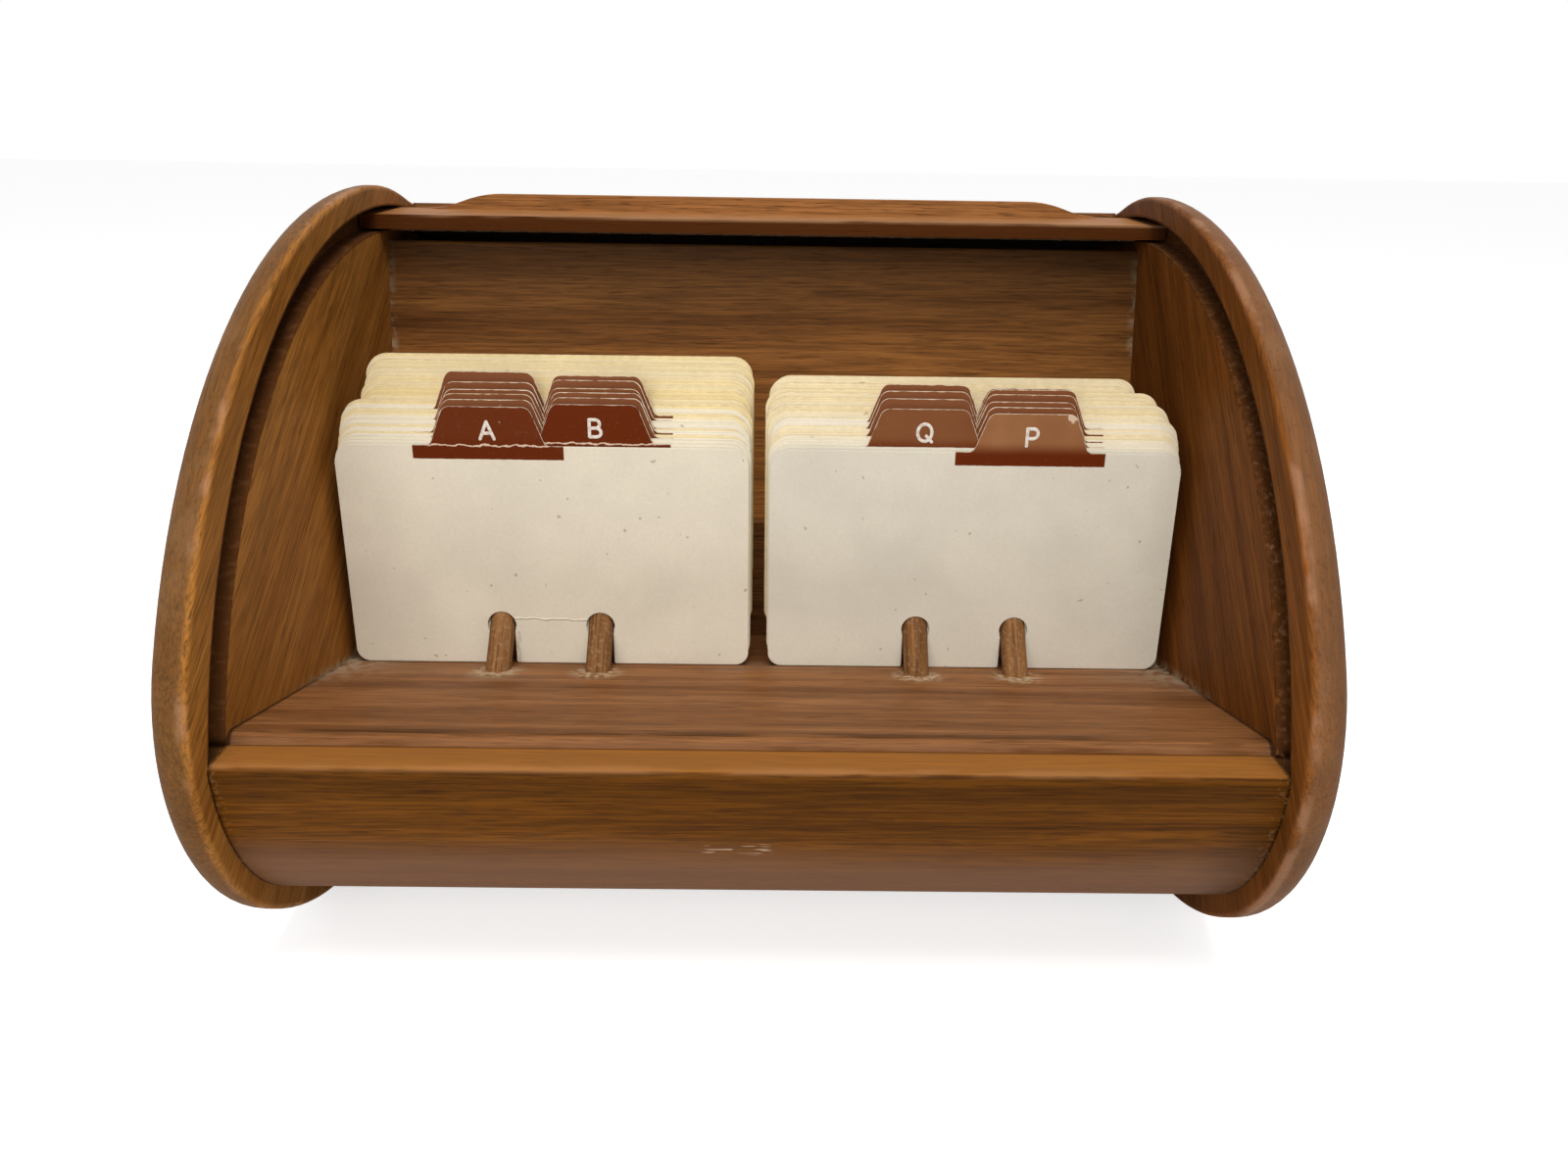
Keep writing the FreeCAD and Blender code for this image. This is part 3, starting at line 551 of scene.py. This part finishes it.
def mark(piece, name, values):
    """Gives each point of a piece one number, or a place of three, which its material reads by name."""
    kind, key = ("FLOAT_VECTOR", "vector") if values.ndim == 2 else ("FLOAT", "value")
    spots = piece.data.attributes.new(name, kind, "POINT").data
    spots.foreach_set(key, values.astype(np.float32).ravel())


# The canvas runs level under the lead slat and then round the groove's axis,
# with a wavy front edge, as a surface of its place across and its place along.
cloth_r, cloth_z, cloth_front, cloth_half = 140.15, 154.15, -2.0, 104.2
turn_on = math.asin((cloth_z - axis_z) / cloth_r)
turn_off = math.radians(12.95)
flat_run = np.linspace(cloth_front, axis_y + cloth_r * math.cos(turn_on), 14, endpoint=False)
bend = np.linspace(turn_on, turn_off, 110)
line_y = np.concatenate([flat_run, axis_y + cloth_r * np.cos(bend)])
line_z = np.concatenate([np.full(len(flat_run), cloth_z), axis_z + cloth_r * np.sin(bend)])
along = np.concatenate([[0], np.cumsum(np.hypot(np.diff(line_y), np.diff(line_z)))])
cloth_x = np.linspace(-cloth_half, cloth_half, 120)
cloth = np.stack(np.broadcast_arrays(cloth_x[:, None], line_y, line_z), -1)
cloth[:, 0, 1] += 0.25 * np.sin(cloth_x * 0.9) + 0.15 * np.sin(cloth_x * 2.3)
order = np.arange(cloth[..., 0].size).reshape(cloth.shape[:2])
canvas = new_piece("curtain_canvas", cloth, grid_faces(order))
canvas.data.polygons.foreach_set("use_smooth", np.ones(len(canvas.data.polygons), bool))
mark(canvas, "weave_place", np.stack(np.broadcast_arrays(cloth_x[:, None], along, 0.0), -1).reshape(-1, 3))
wall = canvas.modifiers.new("wall", "SOLIDIFY")
wall.thickness, wall.offset = 0.42 * mm, 0.0

cloth_look, loom = new_material("brown_canvas")
thread_gap = 0.42
thread_at = add(loom, "ShaderNodeAttribute", attribute_name="weave_place").outputs["Vector"]
warp, weft, _ = add(loom, "ShaderNodeSeparateXYZ", {0: thread_at}).outputs
warp_wave = sums(loom, "SINE", times(loom, warp, math.pi / thread_gap))
weft_wave = sums(loom, "SINE", times(loom, weft, math.pi / thread_gap))
woven = times(loom, warp_wave, weft_wave)
fluff = noise(loom, thread_at, 1.6, 3.0)
cloth_colour = tint(loom, rise(loom, woven, -0.8, 0.8), (0.060, 0.031, 0.014, 1), (0.150, 0.082, 0.038, 1))
cloth_colour = tint(loom, rise(loom, fluff, 0.5, 0.75, 0.0, 0.5), cloth_colour, (0.24, 0.16, 0.09, 1))
surface(loom, Base_Color=cloth_colour, Roughness=rise(loom, fluff, 0.2, 0.8, 0.88, 0.98), Sheen_Weight=0.05,
        Normal=dented(loom, woven, 0.12, 0.8), Specular_IOR_Level=0.05)
canvas.data.materials.append(cloth_look)

# Each loose thread is a thin three-sided tube that starts in the front edge,
# wanders sideways, comes forward along a sine and sinks as a power of the way.
dice = np.random.default_rng(11)
strands = 300
root = np.stack([dice.uniform(0.4 - cloth_half, cloth_half - 0.4, strands),
                 dice.uniform(cloth_front + 0.1, cloth_front + 0.4, strands),
                 dice.uniform(cloth_z - 0.18, cloth_z, strands)], -1)
length = dice.uniform(0.4, 1.5, strands) * np.where(dice.random(strands) > 0.9, 1.9, 1.0)
sideways = length * dice.uniform(-1.1, 1.1, strands)
drop = dice.uniform(0.02, 0.32, strands)
forward = dice.uniform(0.05, 0.55, strands)
travel = np.linspace(0, 1, 6)
path = np.stack([sideways[:, None] * travel * (0.6 + 0.4 * travel), -forward[:, None] * np.sin(travel * 1.5),
                 -drop[:, None] * travel ** 1.6], -1)
girth = 0.045 * (1.0 - 0.6 * travel)
turn = np.radians([0, 120, 240])
section = np.stack([np.cos(turn), np.sin(turn), np.zeros(3)], -1)
fray = (root[:, None, :] + path)[:, :, None, :] + girth[:, None, None] * section
order = np.arange(fray[..., 0].size).reshape(fray.shape[:3])
ends = order[:, -1, :].tolist() + order[:, 0, ::-1].tolist()
fringe = new_piece("canvas_fray", fray, grid_faces(order, closed=True) + ends)
yarn, spun = new_material("loose_yarn")
tuft = noise(spun, place_on(spun), 700.0)
surface(spun, Base_Color=tint(spun, tuft, (0.42, 0.31, 0.19, 1), (0.88, 0.76, 0.56, 1)),
        Roughness=rise(spun, tuft, 0.2, 0.8, 0.8, 0.95))
fringe.data.materials.append(yarn)
for piece in (canvas, fringe):
    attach(piece, "tambour")
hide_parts("tambour_canvas")


# The pegs
# Four short dowels lean back at 45 degrees out of the floor and carry the
# punched cards. They are dusty, with rubbed fibres down their length.
for name, tone, offset in (("peg_left_outer", 0.95, 0.1), ("peg_left_inner", 0.85, 0.5),
                           ("peg_right_inner", 0.90, 0.9), ("peg_right_outer", 0.88, 0.3)):
    peg = Wood(name + "_wood", *toned(tone, (0.300, 0.142, 0.052), (0.155, 0.064, 0.020)), turn=(-45, 0, 90),
               shift=(offset, offset, 0), bands=600.0, contrast=0.8, pores=0.35)
    peg.paint(peg.times(peg.patches(1100.0, 0.52, 0.68, 3.0), 0.30), (0.40, 0.28, 0.16), 0.9)
    dress(peg.finish(relief=0.18), name)


# The cards
# Two stacks of punched cards stand on the pegs: printed index cards with
# brown tabs in front, plain cream cards behind. Each is die cut from thin
# board, rounded at its corners, with two keyhole slots in its lower edge.
card_wide, card_high, card_thick, foot_corner, top_corner = 101.6, 57.15, 0.30, 3.4, 5.0
tab_high, tab_foot, tab_top, left_tab, right_tab = 9.5, 28.2, 20.8, -13.0, 13.2
hole_r, hole_up, slot_half = 3.7, 10.3, 3.3
slot_corner, fold_corner, tab_corner = 0.5, 1.6, 2.4
card_foot_y, card_foot_z, card_pitch = -68.486, 53.755, 0.60
lean_back = math.radians(5.5)
climb = card_pitch / (math.cos(lean_back) - math.sin(lean_back))
# Ink begins below the tab as a strip or a hairline, on the tab itself, or nowhere on the card.
strip_ink, hairline_ink, tab_ink, no_ink = card_high - 3.40, card_high - 0.15, card_high + 0.15, 90.0
Card = namedtuple("Card", "step tab thick slid risen turned tone ink_foot cut_left cut_right")


def rounded(corners):
    """The outline through a list of corners (x, y, radius): each corner gives way to an arc of its radius
    that touches both of its edges, and a corner without a radius stays a point."""
    spots, radii = np.array(corners, float)[:, :2], [corner[2] for corner in corners]
    outline = []
    for here, before, after, radius in zip(spots, np.roll(spots, 1, 0), np.roll(spots, -1, 0), radii):
        come = (here - before) / np.linalg.norm(here - before)
        go = (after - here) / np.linalg.norm(after - here)
        turned = math.atan2(come[0] * go[1] - come[1] * go[0], come @ go)
        if radius <= 0 or abs(turned) < 1e-3:
            outline.append(here[None])
            continue
        start = here - come * radius * math.tan(abs(turned) / 2)
        hub = start + np.array([-come[1], come[0]]) * math.copysign(radius, turned)
        first = math.atan2(start[1] - hub[1], start[0] - hub[0])
        swing = first + np.linspace(0, turned, max(3, int(2 + abs(turned) * (2 + radius * 1.5))))
        outline.append(hub + radius * np.stack([np.cos(swing), np.sin(swing)], -1))
    return np.concatenate(outline)


def card_outline(card):
    """A card's edge, anticlockwise from its lower left: along the foot with its two keyholes, up the right
    side, back over the tab if it has one, and down the left side. A keyhole is a circle opened by a slot."""
    left, right = card.cut_left - card_wide / 2, card_wide / 2 - card.cut_right
    bow = math.asin(slot_half / hole_r)
    sweep = np.linspace(-math.pi / 2 - bow, -2.5 * math.pi + bow, 19)
    corners = [(left, 0, foot_corner)]
    for centre in (-hole_x, hole_x):
        hole = [(centre + hole_r * math.cos(turn), hole_up + hole_r * math.sin(turn), 0) for turn in sweep]
        corners += [(centre - slot_half, 0, slot_corner), *hole, (centre + slot_half, 0, slot_corner)]
    corners += [(right, 0, foot_corner), (right, card_high, top_corner)]
    if card.tab is not None:
        corners += [(card.tab + tab_foot / 2, card_high, fold_corner),
                    (card.tab + tab_top / 2, card_high + tab_high, tab_corner),
                    (card.tab - tab_top / 2, card_high + tab_high, tab_corner),
                    (card.tab - tab_foot / 2, card_high, fold_corner)]
    return rounded(corners + [(left, card_high, top_corner)])


def on_card(x, up, depth, step):
    """Places in the case for points on a card, given as x, the way up from its foot and the depth behind its
    front face: the card leans back, and each step along the pegs takes it as far back as up."""
    y = card_foot_y + climb * step + up * math.sin(lean_back) + depth * math.cos(lean_back)
    z = card_foot_z + climb * step + up * math.cos(lean_back) - depth * math.sin(lean_back)
    return np.stack(np.broadcast_arrays(x, y, z), -1).reshape(-1, 3)


def card_stack(name, centre, cards):
    """Cards as one piece. Each card is its outline carried through the board's thickness in four rings: a
    front face drawn in by a hair, the two full rings of the cut edge, and the back face drawn in again. A
    card is given by its step up the pegs, its tab, its thickness, how far it has slid sideways, risen and
    turned, how aged it is, how high up its ink begins, and how much narrower it is cut on each side."""
    points, faces, spots, rims, feet = [], [], [], [], []
    drawn_in, bevel, off_card = 0.22, 0.03, 500.0
    for card in cards:
        flat = card_outline(card)
        count = len(flat)
        edge = np.roll(flat, -1, 0) - np.roll(flat, 1, 0)
        outward = np.stack([edge[:, 1], -edge[:, 0]], -1) / np.linalg.norm(edge, axis=1)[:, None]
        inner = flat - drawn_in * outward
        rings = np.stack([inner, flat, flat, inner])
        depth = np.array([0.0, bevel, card.thick - bevel, card.thick])[:, None]
        x, up = rings[..., 0], rings[..., 1] - card_high / 2
        turned_x = x * math.cos(card.turned) - up * math.sin(card.turned) + card.slid
        turned_up = x * math.sin(card.turned) + up * math.cos(card.turned) + card_high / 2 + card.risen
        ids = sum(map(len, points)) + np.arange(4 * count).reshape(4, count)
        points.append(on_card(centre + turned_x, turned_up, depth, card.step))
        faces += grid_faces(ids[::-1], closed=True) + [ids[0].tolist(), ids[3, ::-1].tolist()]
        from_tab = x - (off_card if card.tab is None else card.tab)
        spots.append(np.stack(np.broadcast_arrays(from_tab, rings[..., 1], card.tone), -1).reshape(-1, 3))
        rims.append(np.repeat([0.0, 1.0, 1.0, 0.0], count))
        feet.append(np.full(4 * count, card.ink_foot))
    piece = new_piece(name, np.concatenate(points), faces)
    mark(piece, "card_place", np.concatenate(spots))
    mark(piece, "cut_edge", np.concatenate(rims))
    mark(piece, "ink_foot", np.concatenate(feet))
    return piece


def printed_board():
    """Printed card: plain board with faint fibres and specks, a band of brown ink over the tab and a strip
    below it, rubbed back to the pale core along the cut edges and, where Crack is up, along the fold at the
    tab's foot. Where Scuff is up, the tab's upper right corner is rubbed bare."""
    group, given = open_group("printed_board", Board=(0.70, 0.61, 0.48, 1), Aged=(0.80, 0.65, 0.40, 1),
                              Ink=(0.15, 0.035, 0.008, 1), Faded=(0.26, 0.10, 0.045, 1), Fade=0.2, Crack=0.0,
                              Rub=0.7, Scuff=0.0)
    at = add(group, "ShaderNodeAttribute", attribute_name="card_place").outputs["Vector"]
    side, up, tone = add(group, "ShaderNodeSeparateXYZ", {0: at}).outputs
    cut = add(group, "ShaderNodeAttribute", attribute_name="cut_edge").outputs["Fac"]
    ink_begins = add(group, "ShaderNodeAttribute", attribute_name="ink_foot").outputs["Fac"]
    from_middle, strip_half = sums(group, "ABSOLUTE", side), 18.4
    place = place_on(group)
    slow = noise(group, place, 55.0, 3.0)
    fine = noise(group, place, 1300.0, 3.0)
    speck = noise(group, place, 640.0, 0.0)
    rag = noise(group, place, 520.0, 3.0)

    plain = tint(group, tone, given["Board"], given["Aged"])
    plain = shaded(group, plain, rise(group, slow, 0.25, 0.75, 0.94, 1.04))
    plain = tint(group, rise(group, speck, 0.835, 0.865, 0.0, 0.5), plain, (0.25, 0.19, 0.12, 1))
    plain = tint(group, rise(group, fine, 0.35, 0.65, 0.0, 0.10), plain, (0.50, 0.42, 0.31, 1))

    above = sums(group, "SUBTRACT", stirred(group, up, rag, 0.25), ink_begins)
    inked = times(group, rise(group, above, -0.06, 0.06),
                  rise(group, from_middle, strip_half + 0.15, strip_half))
    worn = times(group, rise(group, up, card_high - 0.95, card_high + 2.85), given["Fade"],
                 rise(group, slow, 0.30, 0.70, 0.65, 1.0))
    ink = tint(group, worn, given["Ink"], given["Faded"])
    ink = tint(group, rise(group, fine, 0.58, 0.74, 0.0, 0.05), ink, (0.45, 0.30, 0.20, 1))
    colour = tint(group, inked, plain, ink)

    ragged = stirred(group, cut, rag, 2.2)
    bare = times(group, rise(group, ragged, 0.45, 0.75), given["Rub"], inked)
    colour = tint(group, bare, colour, (0.72, 0.61, 0.47, 1))
    grimy = times(group, rise(group, ragged, 0.30, 0.9), tone, 0.80)
    colour = tint(group, grimy, colour, (0.550, 0.420, 0.230, 1))

    from_fold = gap(group, stirred(group, up, rag, 1.6), card_high)
    crack = times(group, rise(group, from_fold, 0.26, 0.12), inked, given["Crack"],
                  rise(group, from_middle, 15.5, 14.0))
    colour = tint(group, crack, colour, (0.70, 0.52, 0.38, 1))
    from_corner = distance(group, side, tab_top / 2 - 0.8, up, card_high + tab_high - 0.65)
    scuff = times(group, rise(group, stirred(group, from_corner, rag, 4.5), 1.3, 0.9), given["Scuff"])
    colour = tint(group, scuff, colour, (0.62, 0.47, 0.33, 1))

    height = sums(group, "ADD", times(group, fine, 0.3), times(group, crack, 0.8))
    rough = sums(group, "MULTIPLY_ADD", fine, 0.14, sums(group, "MULTIPLY_ADD", inked, -0.10, 0.56))
    add(group, "NodeGroupOutput", {"Color": colour, "Roughness": rough, "Height": height})
    return group


board_group = printed_board()


def card_finish(name, crease=None, **values):
    """A card's material from the printed board. Where crease gives a middle in X, the board between the two
    keyholes there is bent along a line at the height of the holes and torn a little beside the first."""
    look, tree = new_material(name)
    wires = {key: (*value, 1) if isinstance(value, tuple) else value for key, value in values.items()}
    colour, rough, height = add(tree, "ShaderNodeGroup", wires, node_tree=board_group).outputs
    if crease is not None:
        bend_up, tear_out, tear_top = 13.0, 7.0, 62.0
        scaled, (x, _, z) = in_millimetres(tree, place_on(tree))
        wander = noise(tree, scaled, 0.35, 3.0)
        from_bend = gap(tree, sums(tree, "MULTIPLY_ADD", wander, 1.8, z), card_foot_z + bend_up)
        bent = times(tree, rise(tree, from_bend, 0.32, 0.05), rise(tree, gap(tree, x, crease), 9.6, 9.1))
        from_tear = gap(tree, sums(tree, "MULTIPLY_ADD", wander, 3.0, x), crease - tear_out)
        torn = times(tree, rise(tree, from_tear, 0.35, 0.1), rise(tree, z, tear_top + 0.5, tear_top))
        colour = tint(tree, times(tree, bent, 0.30), colour, (0.86, 0.80, 0.70, 1))
        colour = tint(tree, times(tree, torn, 0.35), colour, (0.40, 0.33, 0.25, 1))
        height = sums(tree, "SUBTRACT", sums(tree, "ADD", height, times(tree, bent, 2.0)), torn)
    surface(tree, Base_Color=colour, Roughness=rough, Normal=dented(tree, height, 0.10, 0.8),
            Specular_IOR_Level=0.05)
    return look


deep_ink, bright_board, grey_board = (0.120, 0.019, 0.002), (0.760, 0.695, 0.560), (0.705, 0.660, 0.548)
cream = (0.840, 0.695, 0.405)
fronts = {}
for letter, centre, step, tab, ink_foot, values in (
        ("a", -stack_x, 0, left_tab, strip_ink,
         dict(Board=bright_board, Fade=0.10, Crack=1.0, crease=-stack_x)),
        ("b", -stack_x, 1, right_tab, strip_ink, dict(Board=bright_board, Fade=0.0, Crack=0.9)),
        ("p", stack_x, 0, right_tab, strip_ink,
         dict(Board=grey_board, Fade=0.95, Scuff=1.0, Faded=(0.330, 0.150, 0.062))),
        ("q", stack_x, 1, left_tab, tab_ink, dict(Board=grey_board, Fade=0.75, Faded=(0.240, 0.098, 0.038)))):
    front = Card(step, tab, card_thick, slid=0.0, risen=0.0, turned=0.0, tone=0.0, ink_foot=ink_foot,
                 cut_left=0.0, cut_right=0.0)
    card = card_stack("card_" + letter, centre, [front])
    card.data.materials.append(card_finish("card_%s_board" % letter, Ink=deep_ink, Aged=cream, **values))
    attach(card, "card_" + letter)
    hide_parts("index_card_" + letter)
    fronts[letter] = (centre + tab, step)

# Behind the fronts, each index card is given as its step and its tab: L left,
# R right and - for none. A blank card is thinner, and some are cut narrower.
tab_marks = {"L": left_tab, "R": right_tab, "-": None}
index_steps = {"left": (2.0, 3.0, 3.9, 4.4, 5.1, 6.0, 6.7, 7.4, 8.3, 8.9, 9.5, 10.2, 10.9, 11.5),
               "right": (2.0, 2.7, 3.4, 4.0, 5.2, 5.8, 6.3, 6.9, 7.6, 8.2, 8.9, 9.6, 10.4)}
index_tabs = {"left": "LRLRLR-LR-RL--", "right": "R-RL-RLRRL---"}
blank_thick = 0.20
for word, seed, first_blank, last_blank, centre, aged in (
        ("left", 21, 12.2, 28.0, -stack_x, (0.820, 0.665, 0.345)),
        ("right", 22, 11.1, 23.0, stack_x, (0.840, 0.705, 0.430))):
    luck = np.random.default_rng(seed)
    indexed = []
    for step, tab in zip(index_steps[word], index_tabs[word]):
        slid, risen, turned = luck.uniform(-0.5, 0.5), luck.uniform(-0.15, 0.25), luck.uniform(-0.003, 0.003)
        tone = luck.choice([0.0, 0.1, 0.25, 0.75])
        tab_only = tab == "L" and (word == "right" or luck.random() < 0.7)
        ink_foot = tab_ink if tab_only else luck.choice([strip_ink, hairline_ink, hairline_ink])
        indexed.append(Card(step, tab_marks[tab], card_thick, slid, risen, turned, tone, ink_foot, 0.0, 0.0))

    gaps = luck.choice([0.38, 0.42, 0.50, 0.62, 0.95, 1.20], 60)
    steps = first_blank + np.cumsum(gaps) - gaps[0]
    steps = steps[steps <= last_blank]
    way_back = (steps - first_blank) / (last_blank - first_blank)
    if word == "left":
        cuts_left, cuts_right, slips = np.where(way_back > 0.12, 4.4, 0.4), 0 * steps - 0.4, 0 * steps
    else:
        cuts_right = np.select([way_back > 0.68, way_back > 0.36], [9.5, 3.0], 0.3)
        cuts_left, slips = 0 * steps + 0.2, np.where(way_back > 0.68, 0.0, -0.9)
    blank = []
    for step, slip, cut_left, cut_right in zip(steps, slips, cuts_left, cuts_right):
        slid, risen = slip + luck.uniform(-0.3, 0.3), luck.uniform(-0.30, 0.30)
        turned, tone = luck.uniform(-0.003, 0.003), luck.choice([0.60, 0.75, 0.85, 0.95, 1.0])
        cut_left, cut_right = cut_left + luck.uniform(-0.4, 0.4), cut_right + luck.uniform(-0.4, 0.4)
        blank.append(Card(step, None, blank_thick, slid, risen, turned, tone, no_ink, cut_left, cut_right))

    for kind, cards, values in (("index", indexed, dict(Ink=(0.150, 0.042, 0.012), Fade=0.55, Rub=1.0)),
                                ("blank", blank, dict(Ink=cream))):
        stack = card_stack("%s_stack_%s" % (kind, word), centre, cards)
        stack.data.materials.append(card_finish("%s_board_%s" % (kind, word), Board=(0.780, 0.715, 0.580),
                                                Aged=aged, **values))
        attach(stack, word + "_cards")
        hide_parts("%s_cards_%s" % (kind, word))


# The letters
# Each front tab carries one white index letter in a round-ended type about
# five millimetres tall, printed thickly enough to stand a little proud.
def bowl(x, y, across_half, up_half, start=88, stop=-88, count=16):
    """Points on an ellipse about (x, y) between two angles in degrees."""
    turn = np.radians(np.linspace(start, stop, count))
    return np.stack([x + across_half * np.cos(turn), y + up_half * np.sin(turn)], -1)


def bar(start, stop):
    """A straight run of points from one place to another, in eight equal steps."""
    return np.linspace(start, stop, 9)


def joined(*runs):
    """Several runs drawn in one stroke."""
    return np.concatenate(runs)


pen, letter_up, lift = 0.40, 3.75, 0.004
cap = np.array([0.0, 0.35, 0.65, 0.85, 0.96])
lie, proud = np.array([-1.0, -0.8, 0.0, 0.8, 1.0]), np.array([0.0, 0.045, 0.06, 0.045, 0.0])


def stroke(run):
    """A pen stroke along a run of points, in rows of five points across it. Its half width is the pen's,
    narrowed at both ends along a half circle beyond the run, and it is low at its edges and proud between."""
    rate = np.gradient(run, axis=0)
    rate = rate / np.linalg.norm(rate, axis=1)[:, None]
    beyond = pen * np.sqrt(1 - cap[:, None] ** 2)
    half = np.concatenate([pen * cap, np.full(len(run), pen), pen * cap[::-1]])[:, None]
    run = np.concatenate([run[:1] - rate[:1] * beyond, run, run[-1:] + rate[-1:] * beyond[::-1]])
    rate = np.concatenate([np.repeat(rate[:1], len(cap), 0), rate, np.repeat(rate[-1:], len(cap), 0)])
    x = run[:, :1] - rate[:, 1:] * half * lie
    up = run[:, 1:] + rate[:, :1] * half * lie
    return x, up, proud * np.minimum(1.0, half / pen * 2) + lift


type_face = {
    "a": [bar((-1.7, -2.1), (0, 2.1)), bar((0, 2.1), (1.7, -2.1)), bar((-1.05, -0.7), (1.05, -0.7))],
    "b": [bar((-1.3, -2.1), (-1.3, 2.1)),
          joined(bar((-1.3, 2.1), (0.2, 2.1)), bowl(0.2, 1.07, 1.0, 1.03), bar((0.2, 0.04), (-1.3, 0.04))),
          joined(bar((0.2, 0.04), (0.35, 0.04)), bowl(0.35, -1.03, 1.15, 1.07),
                 bar((0.35, -2.1), (-1.3, -2.1)))],
    "p": [bar((-1.2, -2.1), (-1.2, 2.1)),
          joined(bar((-1.2, 2.1), (0.25, 2.1)), bowl(0.25, 0.9, 1.15, 1.2), bar((0.25, -0.3), (-1.2, -0.3)))],
    "q": [bowl(0, 0, 1.75, 2.1, 90, 450, 40), bar((0.45, -0.85), (1.75, -2.25))],
}
white_ink, press = new_material("white_ink")
dab = noise(press, place_on(press), 1100.0, 3.0)
thin_ink = rise(press, dab, 0.40, 0.70)
surface(press, Base_Color=tint(press, thin_ink, (0.74, 0.69, 0.62, 1), (0.56, 0.45, 0.36, 1)),
        Roughness=rise(press, dab, 0.2, 0.8, 0.5, 0.7))

for letter, (middle_x, step) in fronts.items():
    points, faces = [], []
    for run in type_face[letter]:
        x, up, out = stroke(run)
        faces += grid_faces(sum(map(len, points)) + np.arange(x.size).reshape(x.shape))
        points.append(on_card(middle_x + x, card_high + letter_up + up, -out, step))
    printed = new_piece("letter_" + letter, np.concatenate(points), faces)
    printed.data.materials.append(white_ink)
    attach(printed, "card_" + letter)
